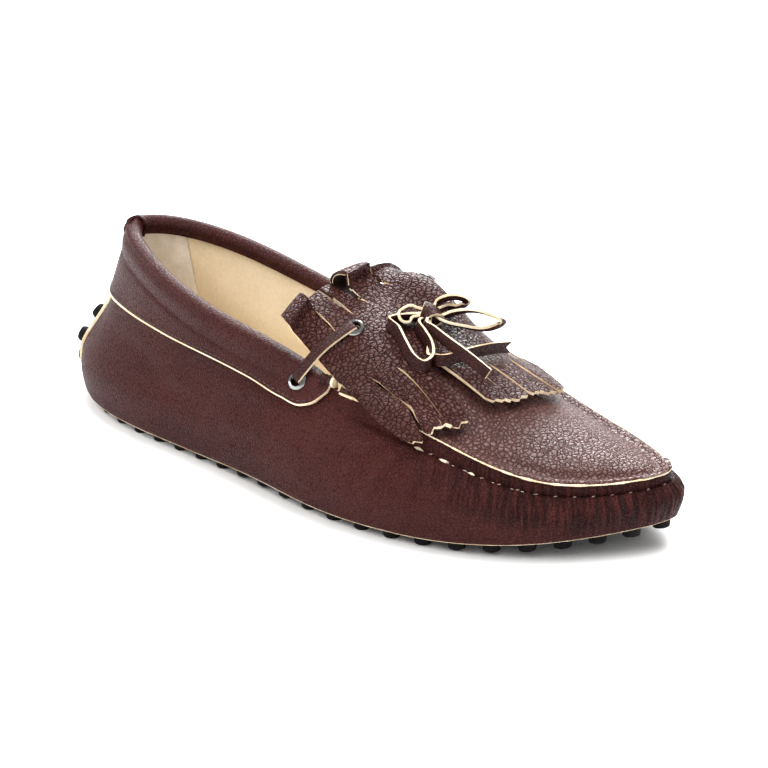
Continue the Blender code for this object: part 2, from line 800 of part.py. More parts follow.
def kiltie_top(drape, x, y, lift=0.0):
    """A point above the kiltie's top face, and the normal there."""
    point, normal = drape.lifted(x, y, KILTIE_LIFT + KILTIE_THICK / 2)
    step = 0.001
    slope_x = (swell(x + step, y) - swell(x - step, y)) / (2 * step)
    slope_y = (swell(x, y + step) - swell(x, y - step)) / (2 * step)
    normal = normal - np.array([slope_x, slope_y, 0]) * normal[2]
    normal /= np.linalg.norm(normal)
    return point + np.array([0, 0, swell(x, y)]) + normal * lift, normal


def fringe_across(place, x, end):
    """Across position of a boundary at a plan place along the shoe."""
    half = (THROAT_AT + end) / 2 + HALF_WAY_ON
    return BALL_WIDTH * float(np.interp(x / LENGTH, (FOLD_AT, THROAT_AT, half, end), place))


def kiltie_lines():
    """The kiltie's lengthwise lines: the strips' boundaries with the middle of each strip between."""
    lines = []
    for k, row in enumerate(FRINGE):
        line = [row[:4], row[4], row[5], row[:4]]
        if k == FRINGE_GAP[0]:
            line[3] = (*row[:2], *FRINGE_GAP[1:])
        lines.append(line)
        if k < len(FRINGE) - 1:
            after = FRINGE[k + 1]
            middle = tuple((a + b) / 2 for a, b in zip(line[3], after[:4]))
            end = (row[4] + after[4]) / 2 + STRIP_END / LENGTH
            lines.append([middle, end, 0.0, middle])
    return lines


def build_kiltie(skin, collection, material):
    """The folded, fringed leather as one solid: tongue below, loops behind and fringe above."""
    drape = Drape(skin)
    lines = kiltie_lines()
    strips = []
    cuts = (0,) + FOLD_SLITS + (len(lines) - 1,)
    for c in range(len(lines) - 1):
        strips.append(max(k for k in range(len(FOLD_RADII)) if c >= cuts[k]))
    under = [along * LENGTH for along in TONGUE_ROWS]
    forward = [along * LENGTH for along in FORWARD_ROWS]
    points, faces = [], []
    known = {}

    def station(row, c, side):
        """Plan place, lift and tilt of a row on line c, as its left or right strip sees it."""
        place, far, root, other = lines[c]
        end = far * LENGTH
        strip = strips[max(0, c - 1)] if side == "L" else strips[min(c, len(strips) - 1)]
        radius, back = FOLD_RADII[strip], FOLD_BACK[strip] * LENGTH
        rows = len(under)
        if row < rows:
            x, lift = under[row], TONGUE_LIFT
        elif row < rows + FOLD_ROWS:
            angle = math.pi * (row - rows) / (FOLD_ROWS - 1)
            flat = TONGUE_LIFT + radius * (1 - math.cos(angle))
            x, lift = back + radius * FOLD_LONG * (1 - math.sin(angle)), flat
            x += FOLD_LEAN * radius * (row - rows) / (FOLD_ROWS - 1)
        else:
            k = row - rows - FOLD_ROWS
            if k < len(forward):
                x = min(forward[k], end - 0.001 * (len(forward) - k))
                top = TONGUE_LIFT + 2 * radius
                fade = min(1.0, max(0.0, (x - back) / (FOLD_FADE * LENGTH)))
                fade = fade * fade * (3 - 2 * fade)
                lift = max(KILTIE_LIFT, top + (KILTIE_LIFT - top) * fade)
                if top < KILTIE_LIFT:
                    lift = top + (KILTIE_LIFT - top) * fade
            else:
                share = (k - len(forward) + 1) / 4
                start = min(forward[-1], end - 0.001)
                x = start + (end - start) * share
                lift = KILTIE_LIFT
            if 0 < root * LENGTH < x and side == "R":
                place = other
        narrow = min(1.0, TONGUE_NARROW + (1 - TONGUE_NARROW) * max(0, row - rows + 1) / FOLD_ROWS)
        y = fringe_across(place, x, far) * narrow
        above = min(1.0, max(0, row - rows) / (FOLD_ROWS - 1))
        return x, y, lift, above * swell(x, y)

    rows = len(under) + FOLD_ROWS + len(forward) + 4
    fold = range(len(under) - 1, len(under) + FOLD_ROWS + 2)
    for row in range(rows):
        for c in range(len(lines)):
            left, right = station(row, c, "L"), station(row, c, "R")
            split_fold = c in FOLD_SLITS and row in fold
            root = lines[c][2] * LENGTH
            split_fringe = root > 0 and row >= len(under) + FOLD_ROWS and left[0] > root
            split = split_fold or split_fringe
            for side, (x, y, lift, rise) in (("L", left), ("R", right)):
                if side == "R" and not split:
                    known[row, c, "R"] = known[row, c, "L"]
                    continue
                if not split and c in FOLD_SLITS:
                    lift = (left[2] + right[2]) / 2
                    x = (left[0] + right[0]) / 2
                shift = (KILTIE_SLIT / 2 if side == "R" else -KILTIE_SLIT / 2) if split else 0.0
                point, _ = drape.lifted(x, y + shift, lift)
                known[row, c, side] = len(points)
                points.append(point + np.array([0, 0, rise]))
    for row in range(rows - 1):
        for c in range(len(lines) - 1):
            a, b = known[row, c, "R"], known[row, c + 1, "L"]
            d, e = known[row + 1, c, "R"], known[row + 1, c + 1, "L"]
            faces.append((a, b, e, d))
    points = np.array(points)
    sheet_normals = smooth_normals(points, faces)
    vertices, solid = thicken(points, faces, sheet_normals, KILTIE_THICK)
    return drape, mesh_object("kiltie", vertices, solid, collection, material)


def eyelet(name, point, normal, collection, material):
    """A flanged metal ring with its flange just above the leather and its barrel in the hole."""
    profile = (
        (EYELET_BORE, 0.0010),
        (EYELET_BORE + 0.0007, 0.0014),
        (EYELET_FLANGE - 0.0005, 0.0011),
        (EYELET_FLANGE, 0.0003),
        (EYELET_BORE + 0.0006, 0.0003),
        (EYELET_BORE + 0.0006, -0.0009),
        (EYELET_BORE, -0.0009),
    )
    turn = Vector(normal).to_track_quat("Z", "Y").to_matrix()
    sides = 12
    vertices, faces = [], []
    for k in range(sides):
        a = 2 * math.pi * k / sides
        for r, z in profile:
            local = turn @ Vector((r * math.cos(a), r * math.sin(a), z))
            vertices.append(np.array(point) + np.array(local))
    count = len(profile)
    for k in range(sides):
        for m in range(count):
            a, b = k * count + m, k * count + (m + 1) % count
            c, d = ((k + 1) % sides) * count + (m + 1) % count, ((k + 1) % sides) * count + m
            faces.append((a, b, c, d))
    return mesh_object(name, vertices, faces, collection, material)


def cut_hole(obj, name, point, normal, depth_in, depth_out, helpers):
    """Cuts a round hole for an eyelet through one layer."""
    work = bmesh.new()
    turn = Vector(normal).to_track_quat("Z", "Y").to_matrix().to_4x4()
    middle = np.array(point) + np.array(normal) * (depth_out - depth_in) / 2
    radius = EYELET_BORE + 0.0006 + GAP
    bmesh.ops.create_cone(
        work,
        cap_ends=True,
        segments=12,
        radius1=radius,
        radius2=radius,
        depth=depth_in + depth_out,
        matrix=Matrix.Translation(Vector(middle)) @ turn,
    )
    mesh = bpy.data.meshes.new(name)
    work.to_mesh(mesh)
    work.free()
    add_boolean(obj, "DIFFERENCE", helper_object(name, mesh, helpers))


def spline_through(points, steps):
    """Points along a smooth curve through the given ones."""
    points = np.array(points, float)
    padded = np.vstack([2 * points[0] - points[1], points, 2 * points[-1] - points[-2]])
    out = []
    for k in range(1, len(padded) - 2):
        p0, p1, p2, p3 = padded[k - 1 : k + 3]
        for t in np.arange(steps) / steps:
            square = 2 * p0 - 5 * p1 + 4 * p2 - p3
            cube = 3 * p1 - p0 - 3 * p2 + p3
            out.append(0.5 * (2 * p1 + (p2 - p0) * t + square * t**2 + cube * t**3))
    return np.array(out + [points[-1]])


def ribbon(name, points, sides, collection, material, steps=3):
    """A flat lace along a smooth curve. sides are the directions across it at each given point."""
    line = spline_through(points, steps)
    across = spline_through(sides, steps)
    sections = []
    for k, place in enumerate(line):
        ahead = line[min(k + 1, len(line) - 1)] - line[max(k - 1, 0)]
        ahead /= np.linalg.norm(ahead)
        side = across[k] - ahead * (across[k] @ ahead)
        side /= np.linalg.norm(side)
        up = np.cross(ahead, side)
        w, t = side * LACE_WIDTH / 2, up * LACE_THICK / 2
        sections.append([place - w - t, place + w - t, place + w + t, place - w + t])
    vertices, faces = loft(sections)
    return mesh_object(name, vertices, faces, collection, material, sharp=50)


def build_lacing(skin, drape, band, kiltie, shoe, helpers, leather, metal):
    """Eyelets, the holes for them, the lace bars between them and the bow."""
    for side, name in ((1, "lateral"), (-1, "medial")):
        place, normal = on_skin(skin, BAND_EYELET[0] * side, BAND_EYELET[1])
        face = place + normal * (BAND_CLEAR + BAND_THICK)
        eyelet("eyelet_band_" + name, face, normal, shoe, metal)
        cut_hole(band, "hole_band_" + name, face, normal, BAND_THICK + BAND_CLEAR / 2, 0.003, helpers)
        along, across = KILTIE_EYELET[0] * LENGTH, -side * KILTIE_EYELET[1] * BALL_WIDTH
        top, up = kiltie_top(drape, along, across)
        eyelet("eyelet_kiltie_" + name, top, up, shoe, metal)
        cut_hole(kiltie, "hole_kiltie_" + name, top, up, KILTIE_THICK + 0.0006, 0.003, helpers)
        rise, arch = BAR_RISES[name]
        start = face + normal * rise
        end = top + up * rise
        middle = (start + end) / 2 + (normal + up) * arch
        along = end - start
        side_start, side_end = np.cross(normal, along), np.cross(up, along)
        sides = [v / np.linalg.norm(v) for v in (side_start, side_start + side_end, side_end)]
        ribbon("lace_bar_" + name, [start, middle, end], sides, shoe, leather)
    build_bow(drape, shoe, leather)


BOW = {
    # cord: places along and across from the heel and up from the floor, with the direction across the lace
    "bow_loop_near": (
        (
            (0.1729, -0.0100, 0.0685),
            (0.1781, -0.0124, 0.0664),
            (0.1844, -0.0162, 0.0635),
            (0.1903, -0.0190, 0.0604),
            (0.1954, -0.0190, 0.0589),
            (0.1961, -0.0152, 0.0607),
            (0.1922, -0.0108, 0.0635),
            (0.1861, -0.0070, 0.0656),
            (0.1811, -0.0036, 0.0670),
        ),
        (0.15, 0.25, 1.0),
    ),
    "bow_loop_back": (
        (
            (0.1770, 0.0004, 0.0721),
            (0.1751, -0.0020, 0.0727),
            (0.1736, -0.0050, 0.0708),
            (0.1756, -0.0068, 0.0686),
            (0.1776, -0.0052, 0.0678),
            (0.1781, -0.0022, 0.0691),
        ),
        (0.5, -0.75, 0.35),
    ),
    "bow_loop_high": (
        (
            (0.1807, 0.0080, 0.0721),
            (0.1844, 0.0092, 0.0750),
            (0.1886, 0.0110, 0.0758),
            (0.1915, 0.0128, 0.0744),
            (0.1877, 0.0125, 0.0712),
            (0.1836, 0.0105, 0.0708),
        ),
        (0.5, -0.6, 0.7),
    ),
    "bow_loop_far": (
        (
            (0.1860, 0.0060, 0.0691),
            (0.1900, 0.0075, 0.0711),
            (0.1966, 0.0090, 0.0729),
            (0.2025, 0.0110, 0.0723),
            (0.2075, 0.0130, 0.0698),
            (0.2015, 0.0115, 0.0660),
            (0.1939, 0.0080, 0.0662),
            (0.1879, 0.0048, 0.0674),
        ),
        (0.1, -0.9, 0.5),
    ),
    "bow_tail_front": (
        (
            (0.1847, -0.0034, 0.0674),
            (0.1893, -0.0052, 0.0671),
            (0.1975, -0.0082, 0.0660),
            (0.2064, -0.0104, 0.0642),
            (0.2172, -0.0090, 0.0583),
        ),
        (0.0, 0.2, 1.0),
    ),
    "bow_tail_swallow": (
        (
            (0.1982, -0.0138, 0.0604),
            (0.2008, -0.0118, 0.0606),
            (0.2023, -0.0058, 0.0606),
            (0.2036, 0.0012, 0.0604),
            (0.2056, 0.0100, 0.0597),
            (0.2069, 0.0180, 0.0582),
        ),
        (0.0, 0.2, 1.0),
    ),
}


def build_bow(drape, collection, material):
    """The knot, the loops and the two ends of the bow."""
    _, normal = kiltie_top(drape, *KNOT[:2])
    work = bmesh.new()
    turn = Vector(normal).to_track_quat("Z", "Y").to_matrix().to_4x4()
    place = Matrix.Translation(KNOT) @ turn @ Matrix.Diagonal((*KNOT_SIZE, 1))
    bmesh.ops.create_icosphere(work, subdivisions=2, radius=1.0, matrix=place)
    mesh = bpy.data.meshes.new("bow_knot")
    work.to_mesh(mesh)
    work.free()
    mesh.shade_smooth()
    mesh.materials.append(material)
    collection.objects.link(bpy.data.objects.new("bow_knot", mesh))
    for name, (places, side) in BOW.items():
        ribbon(name, places, [side] * len(places), collection, material)


def centre_shoe(shoe):
    """Moves every piece so that the box without the bow is centred in plan and stands at z = 0."""
    graph = bpy.context.evaluated_depsgraph_get()
    corners = []
    for obj in shoe.objects:
        if not obj.name.startswith("bow_"):
            mesh = obj.evaluated_get(graph).to_mesh()
            corners += [(v.co.x, v.co.y, v.co.z) for v in mesh.vertices]
            obj.evaluated_get(graph).to_mesh_clear()
    corners = np.array(corners)
    low, high = corners.min(axis=0), corners.max(axis=0)
    shift = Vector((-(low[0] + high[0]) / 2, -(low[1] + high[1]) / 2, -low[2]))
    for obj in bpy.data.objects:
        if obj.type == "MESH":
            obj.data.transform(Matrix.Translation(shift))


def main():
    """Builds the shoe."""
    for obj in list(bpy.data.objects):
        bpy.data.objects.remove(obj)
    shoe = finish_collection("kiltie_moccasin")
    helpers = finish_collection("helpers")
    leather = new_material("upper_leather", (0.075, 0.022, 0.018), 0.5)
    rubber = new_material("sole_rubber", (0.012, 0.012, 0.013), 0.6)
    lining = new_material("insole_leather", (0.62, 0.45, 0.25), 0.6)
    metal = new_material("gunmetal", (0.11, 0.11, 0.12), 0.3, 1.0)
    skin, _ = build_upper(shoe, leather)
    build_outsole(shoe, helpers, rubber)
    build_insole(shoe, lining)
    band = build_collar_band(skin, shoe, leather)
    build_heel_patch(skin, shoe, helpers, leather)
    drape, kiltie = build_kiltie(skin, shoe, leather)
    build_lacing(skin, drape, band, kiltie, shoe, helpers, leather, metal)
    centre_shoe(shoe)


main()
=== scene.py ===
"""Looks of a kiltie driving moccasin, the right shoe of a pair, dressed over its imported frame.

Metres, +Z up, toe along +X, medial side along +Y. Forms are worked out from the heel, as the
shoemaker's last is, and moved to the frame's centre when a piece is made.
"""

import logging
import math
from dataclasses import dataclass, field
from enum import Enum

import bmesh
import bpy
import numpy as np
from mathutils import Matrix, Quaternion, Vector, noise
from mathutils.bvhtree import BVHTree

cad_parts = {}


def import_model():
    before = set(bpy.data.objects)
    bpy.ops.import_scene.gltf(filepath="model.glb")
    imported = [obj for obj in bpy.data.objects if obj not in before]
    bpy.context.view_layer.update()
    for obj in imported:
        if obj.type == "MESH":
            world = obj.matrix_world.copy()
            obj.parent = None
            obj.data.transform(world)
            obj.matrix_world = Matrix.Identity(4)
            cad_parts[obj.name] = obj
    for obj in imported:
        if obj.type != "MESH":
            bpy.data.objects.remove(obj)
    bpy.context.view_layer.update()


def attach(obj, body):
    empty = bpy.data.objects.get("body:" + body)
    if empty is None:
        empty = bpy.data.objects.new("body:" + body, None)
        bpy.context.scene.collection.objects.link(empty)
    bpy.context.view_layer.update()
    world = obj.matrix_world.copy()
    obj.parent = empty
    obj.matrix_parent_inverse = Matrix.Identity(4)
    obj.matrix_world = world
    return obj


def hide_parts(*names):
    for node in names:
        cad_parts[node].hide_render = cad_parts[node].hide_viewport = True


log = logging.getLogger("moccasin")

Array = np.ndarray
Piece = bpy.types.Object
Socket = bpy.types.NodeSocket
# A place, a direction, a size or a colour
Triple = tuple[float, float, float]
# Rows of numbers that a curve is drawn through
Table = tuple[tuple[float, ...], ...]
# Points, and the normals or directions that go with them
Pair = tuple[Array, Array]

# From the heel's corner, where the forms are drawn, to the centre of the frame
TO_FRAME = np.array((-0.141946, 0.000397, 0.0))
COLUMNS = 64
THROAT = 18 / COLUMNS
# How square the apron's crown is across
CROWN_POWER = 2.1
UP = np.array((0.0, 0.0, 1.0))


class Slot(Enum):
    """Material slots of the record."""

    UPPER = "upper_leather"
    BAND = "band_leather"
    KILTIE = "kiltie_leather"
    LACE = "lace_leather"
    LINING = "insole_leather"
    RUBBER = "sole_rubber"
    METAL = "eyelet_metal"


def hermite(ats: Array, values: Array, at: Array) -> Array:
    """A smooth curve through rows of values at rising places.

    Args:
        ats: the places of the rows.
        values: one row of values for each place.
        at: the places to read.

    Returns:
        One row of values for each place read.
    """
    gaps = np.diff(ats)
    rise = np.diff(values, axis=0) / gaps[:, None]
    share = (gaps[:-1] / (gaps[:-1] + gaps[1:]))[:, None]
    slopes = np.vstack([rise[:1], rise[:-1] * (1 - share) + rise[1:] * share, rise[-1:]])
    i = np.clip(np.searchsorted(ats, at, side="right") - 1, 0, len(ats) - 2)
    t = ((at - ats[i]) / gaps[i])[:, None]
    wide = gaps[i][:, None]
    start = (2 * t**3 - 3 * t**2 + 1) * values[i] + (t**3 - 2 * t**2 + t) * wide * slopes[i]
    return start + (3 * t**2 - 2 * t**3) * values[i + 1] + (t**3 - t**2) * wide * slopes[i + 1]


def smooth_step(value: Array, low: float, high: float) -> Array:
    """0 below low, 1 above high, and a soft ramp between."""
    t = np.clip((value - low) / (high - low), 0.0, 1.0)
    return t * t * (3 - 2 * t)


def bump(value: Array, middle: float, wide: float) -> Array:
    """A soft bell of height 1 round a middle."""
    return np.exp(-(((value - middle) / wide) ** 2))


def unit(vectors: Array) -> Array:
    """The vectors at length 1."""
    return vectors / np.maximum(np.linalg.norm(vectors, axis=-1, keepdims=True), 1e-12)


def soft_noise(points: Array, wavelength: float, seed: float) -> Array:
    """Smooth noise from -1 to 1 at each point of a grid."""
    flat = points.reshape(-1, 3) / wavelength + seed
    return np.array([noise.noise(Vector(p)) for p in flat]).reshape(points.shape[:-1])


def spline(points: Array, steps: int) -> Array:
    """Points along a smooth curve through the given ones."""
    padded = np.vstack([2 * points[0] - points[1], points, 2 * points[-1] - points[-2]])
    out = []
    for k in range(1, len(padded) - 2):
        a, b, c, d = padded[k - 1 : k + 3]
        for t in np.arange(steps) / steps:
            cubic = 2 * a - 5 * b + 4 * c - d
            out.append(0.5 * (2 * b + (c - a) * t + cubic * t**2 + (3 * b - a - 3 * c + d) * t**3))
    return np.array(out + [points[-1]])


def run_along(points: Array) -> Array:
    """The length of a line up to each of its points."""
    return np.r_[0, np.cumsum(np.linalg.norm(np.diff(points, axis=0), axis=1))]


def even_path(points: Array, step: float) -> Array:
    """The same path with points a fixed step apart."""
    run = run_along(points)
    at = np.linspace(0, run[-1], max(3, int(run[-1] / step) + 1))
    return np.stack([np.interp(at, run, points[:, k]) for k in range(points.shape[1])], axis=1)


class Bench:
    """The hand work: primitives, joins and modifiers on meshes."""

    @staticmethod
    def clear_selection() -> None:
        """Nothing stays selected."""
        if bpy.context.mode != "OBJECT":
            bpy.ops.object.mode_set(mode="OBJECT")
        bpy.ops.object.select_all(action="DESELECT")

    @classmethod
    def only(cls, obj: Piece) -> None:
        """Makes obj the one selected and active object."""
        cls.clear_selection()
        obj.select_set(True)
        bpy.context.view_layer.objects.active = obj

    @classmethod
    def sheet(cls, name: str, points: Array, uv: Array | None = None) -> Piece:
        """A grid primitive laid over points.

        Args:
            name: the piece's name.
            points: rows by columns by 3. Columns turned to rows face outwards.
            uv: rows by columns by 2, in metres, or None.

        Returns:
            The new object.
        """
        rows, columns = points.shape[:2]
        cls.clear_selection()
        bpy.ops.mesh.primitive_grid_add(x_subdivisions=columns - 1, y_subdivisions=rows - 1, size=1)
        obj = bpy.context.object
        obj.name = obj.data.name = name
        for _ in range(3):
            obj.data.materials.append(None)
        obj.data.vertices.foreach_set("co", (points + TO_FRAME).astype(np.float32).ravel())
        if uv is not None:
            index = np.zeros(len(obj.data.loops), np.int32)
            obj.data.loops.foreach_get("vertex_index", index)
            layer = obj.data.uv_layers.active.data
            layer.foreach_set("uv", uv.reshape(-1, 2)[index].astype(np.float32).ravel())
        obj.data.update()
        return obj

    @classmethod
    def merge(cls, obj: Piece, reach: float = 0.00002) -> None:
        """Merges points that share a place."""
        cls.only(obj)
        bpy.ops.object.mode_set(mode="EDIT")
        bpy.ops.mesh.select_all(action="SELECT")
        bpy.ops.mesh.remove_doubles(threshold=reach)
        bpy.ops.object.mode_set(mode="OBJECT")

    @classmethod
    def join(cls, name: str, parts: list[Piece]) -> Piece:
        """Joins objects into the first of them."""
        cls.clear_selection()
        for part in parts:
            part.select_set(True)
        bpy.context.view_layer.objects.active = parts[0]
        if len(parts) > 1:
            bpy.ops.object.join()
        parts[0].name = parts[0].data.name = name
        return parts[0]

    @classmethod
    def apply(cls, obj: Piece, kind: str, **settings: object) -> None:
        """Adds one modifier with the given settings and applies it."""
        modifier = obj.modifiers.new(kind.lower(), kind)
        for key, value in settings.items():
            setattr(modifier, key, value)
        cls.only(obj)
        bpy.ops.object.modifier_apply(modifier=modifier.name)

    @classmethod
    def thicken(cls, obj: Piece, thick: float, inner: int = 0, rim: int = 1) -> None:
        """Gives a sheet its thickness, below the face that shows."""
        cls.apply(
            obj,
            "SOLIDIFY",
            thickness=thick,
            offset=-1.0,
            use_rim=True,
            material_offset=inner,
            material_offset_rim=rim,
        )

    @classmethod
    def soften(cls, obj: Piece, wide: float, angle: float = 50, material: int = -1) -> None:
        """Rounds the cut edges, in their faces' own material or in one of its own."""
        cls.apply(
            obj,
            "BEVEL",
            width=wide,
            segments=2,
            material=material,
            limit_method="ANGLE",
            angle_limit=math.radians(angle),
        )

    @classmethod
    def smooth(cls, obj: Piece, angle: float = 40) -> None:
        """Smooth shading with sharp edges kept."""
        cls.only(obj)
        bpy.ops.object.shade_smooth_by_angle(angle=math.radians(angle))

    @staticmethod
    def mark_rows(obj: Piece, columns: int, rows: tuple[int, ...] = (0,)) -> None:
        """Gives whole rows of a sheet's faces the piece's second material."""
        faces = np.zeros(len(obj.data.polygons), np.int32)
        for row in rows:
            faces[row * columns : (row + 1) * columns] = 1
        obj.data.polygons.foreach_set("material_index", faces)

    @classmethod
    def ball(cls, segments: int, rings: int, size: Triple) -> Piece:
        """A ball drawn out to its half sizes along the three axes."""
        cls.clear_selection()
        bpy.ops.mesh.primitive_uv_sphere_add(segments=segments, ring_count=rings, radius=1.0)
        obj = bpy.context.object
        bpy.ops.object.mode_set(mode="EDIT")
        bpy.ops.mesh.select_all(action="SELECT")
        bpy.ops.transform.resize(value=size, center_override=(0, 0, 0))
        bpy.ops.object.mode_set(mode="OBJECT")
        return obj

    @staticmethod
    def close_ends(obj: Piece, material: int) -> None:
        """Fills open rims with faces of one material."""
        work = bmesh.new()
        work.from_mesh(obj.data)
        rims = [edge for edge in work.edges if edge.is_boundary]
        for face in bmesh.ops.holes_fill(work, edges=rims)["faces"]:
            face.material_index = material
        bmesh.ops.recalc_face_normals(work, faces=work.faces)
        work.to_mesh(obj.data)
        work.free()

    @classmethod
    def turned(cls, name: str, profile: list[tuple[float, float]], sides: int) -> Piece:
        """A turned shape: a circle extruded and resized from ring to ring.

        Args:
            name: the piece's name.
            profile: radius and height of each ring. The first repeated at the end closes a ring shape.
            sides: points round each ring.

        Returns:
            The new object, at the origin.
        """
        cls.clear_selection()
        closed = profile[0] == profile[-1]
        radius, height = profile[0]
        bpy.ops.mesh.primitive_circle_add(
            vertices=sides,
            radius=radius,
            location=(0, 0, 0),
            fill_type="NOTHING" if closed else "NGON",
        )
        obj = bpy.context.object
        obj.name = obj.data.name = name
        bpy.ops.object.mode_set(mode="EDIT")
        bpy.ops.mesh.select_all(action="SELECT")
        bpy.ops.transform.translate(value=(0, 0, height))
        for ring, lift in profile[1:]:
            bpy.ops.mesh.extrude_region_move(TRANSFORM_OT_translate={"value": (0, 0, lift - height)})
            scale = ring / radius
            bpy.ops.transform.resize(value=(scale, scale, 1), center_override=(0, 0, lift))
            radius, height = ring, lift
        bpy.ops.mesh.select_all(action="SELECT")
        bpy.ops.mesh.remove_doubles(threshold=0.00001)
        bpy.ops.mesh.normals_make_consistent(inside=False)
        bpy.ops.object.mode_set(mode="OBJECT")
        return obj

    @classmethod
    def copies(cls, name: str, model: Piece, places: list[Matrix]) -> Piece:
        """Copies a small model to every place and joins the copies."""
        made = []
        for place in places:
            copy = bpy.data.objects.new(name, model.data.copy())
            copy.data.transform(place)
            bpy.context.scene.collection.objects.link(copy)
            made.append(copy)
        bpy.data.objects.remove(model)
        return cls.join(name, made)

    @staticmethod
    def place(point: Array, along: Array, up: Array) -> Matrix:
        """A matrix that turns local X to along and local Z to up, at a point of the last."""
        z = Vector(up).normalized()
        x = Vector(along)
        x = (x - z * x.dot(z)).normalized()
        turn = Matrix((x, z.cross(x), z)).transposed().to_4x4()
        return Matrix.Translation(Vector(point + TO_FRAME)) @ turn

    @staticmethod
    def finish(
        obj: Piece,
        materials: list[bpy.types.Material],
        slot: Slot,
        nodes: tuple[str, ...] = (),
    ) -> Piece:
        """Dresses a piece, and ties it to the frame.

        Args:
            obj: the finished mesh.
            materials: its materials, in the order of its face numbers.
            slot: the record's slot of its finish; not used.
            nodes: the frame's nodes that it stands for.

        Returns:
            The same object.
        """
        slots = obj.data.materials
        for number, material in enumerate(materials):
            if number < len(slots):
                slots[number] = material
            else:
                slots.append(material)
        while len(slots) > len(materials):
            slots.pop()
        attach(obj, "root")
        if nodes:
            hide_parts(*nodes)
        log.info("%s: %d faces", obj.name, len(obj.data.polygons))
        return obj


@dataclass
class Last:
    """The form of the shoe: outline, wall sections and apron, in the sizes of the frame's source."""

    length: float = 0.285
    ball_width: float = 0.101
    turn_under: float = 0.0016
    stud_height: float = 0.0042
    arch_rise: float = 0.0012
    toe_spring: float = 0.0085
    heel_rise: float = 0.0055
    ridge_height: float = 0.0022
    collar_height: float = 0.071
    edge_up: float = 0.0001
    curl_in: float = 0.0007
    curl_up: float = 0.0028
    # Where the toe's spring and the arch begin, and how far they and the heel's rise reach, in shares of
    # the length
    spring_from: float = 0.72
    spring_long: float = 0.28
    heel_long: float = 0.10
    arch_from: float = 0.34
    arch_long: float = 0.28
    # Shares of the length along, and of the ball's width across, from the heel back by the medial side
    outline: Table = (
        (0.012, 0.000), (0.040, 0.182), (0.115, 0.315), (0.360, 0.325), (0.675, 0.490),
        (0.862, 0.442), (0.955, 0.327), (1.000, 0.170), (0.970, -0.014), (0.860, -0.310),
        (0.640, -0.500), (0.360, -0.430), (0.115, -0.335), (0.040, -0.195),
    )
    # Share round from the heel back by the lateral side, belly, middle inset and height, top inset and
    # height: heights are shares of the collar's height and insets of the ball's width
    sections: Table = (
        (0.000, 0.169, 0.119, 0.507, 0.238, 1.000),
        (0.070, 0.197, 0.109, 0.479, 0.223, 0.951),
        (0.180, 0.211, 0.042, 0.437, 0.117, 0.775),
        (0.262, 0.225, 0.054, 0.423, 0.158, 0.627),
        (0.340, 0.211, 0.045, 0.366, 0.131, 0.507),
        (0.430, 0.148, 0.018, 0.190, 0.061, 0.268),
        (0.500, 0.120, 0.015, 0.162, 0.061, 0.225),
        (0.570, 0.162, 0.030, 0.232, 0.097, 0.318),
        (0.660, 0.211, 0.045, 0.366, 0.119, 0.514),
        (0.738, 0.225, 0.054, 0.423, 0.137, 0.648),
        (0.820, 0.211, 0.045, 0.437, 0.084, 0.838),
        (0.930, 0.183, 0.084, 0.493, 0.188, 0.993),
    )
    # Share from the throat to the toe tip, and the apron's crown there as a share of the collar's height
    crown: Table = ((0, 0.246), (0.35, 0.169), (0.80, 0.070), (1, 0))

    def __post_init__(self) -> None:
        """Draws the outline as one closed smooth line."""
        knots = np.array(self.outline) * (self.length, self.ball_width)
        line = self.closed_line(knots, 200)
        self.line = np.vstack([line, line[:1]])[::-1]
        self.run = run_along(self.line)
        self.tip_run = self.run[np.argmax(self.line[:, 0])]

    @staticmethod
    def closed_line(knots: Array, steps: int) -> Array:
        """A closed cubic spline through plan points."""
        count = len(knots)
        gaps = np.linalg.norm(np.roll(knots, -1, 0) - knots, axis=1)
        matrix, right = np.zeros((count, count)), np.zeros((count, 2))
        for i in range(count):
            before, after = gaps[i - 1], gaps[i]
            matrix[i, i - 1] += before / 6
            matrix[i, i] += (before + after) / 3
            matrix[i, (i + 1) % count] += after / 6
            ahead = (knots[(i + 1) % count] - knots[i]) / after
            right[i] = ahead - (knots[i] - knots[i - 1]) / before
        bends = np.linalg.solve(matrix, right)
        found = []
        for i in range(count):
            j = (i + 1) % count
            for b in np.linspace(0, 1, steps, endpoint=False):
                a = 1 - b
                bend = ((a**3 - a) * bends[i] + (b**3 - b) * bends[j]) * gaps[i] ** 2 / 6
                found.append(a * knots[i] + b * knots[j] + bend)
        return np.array(found)

    def runs(self, shares: Array) -> Array:
        """Arc lengths at shares round the outline."""
        shares = np.asarray(shares) % 1.0
        rest = self.run[-1] - self.tip_run
        return np.where(shares < 0.5, 2 * shares * self.tip_run, self.tip_run + (2 * shares - 1) * rest)

    def plan(self, runs: Array) -> Array:
        """Plan points at arc lengths."""
        runs = np.asarray(runs) % self.run[-1]
        return np.stack([np.interp(runs, self.run, self.line[:, k]) for k in (0, 1)], axis=-1)

    def edge(self, shares: Array) -> Pair:
        """Plan points and outward directions at shares."""
        runs, reach = self.runs(shares), 0.002
        along = unit(self.plan(runs + reach) - self.plan(runs - reach))
        return self.plan(runs), np.stack([along[..., 1], -along[..., 0]], axis=-1)

    def sole_height(self, x: Array) -> Array:
        """Height of the leather's underside over the floor."""
        s = np.asarray(x) / self.length
        spring = self.toe_spring * np.maximum(0, (s - self.spring_from) / self.spring_long) ** 2
        heel = self.heel_rise * np.maximum(0, (self.heel_long - s) / self.heel_long) ** 1.8
        along = np.clip((s - self.arch_from) / self.arch_long, 0, 1)
        arch = self.arch_rise * np.sin(np.pi * along) ** 2
        return self.stud_height + spring + heel + arch

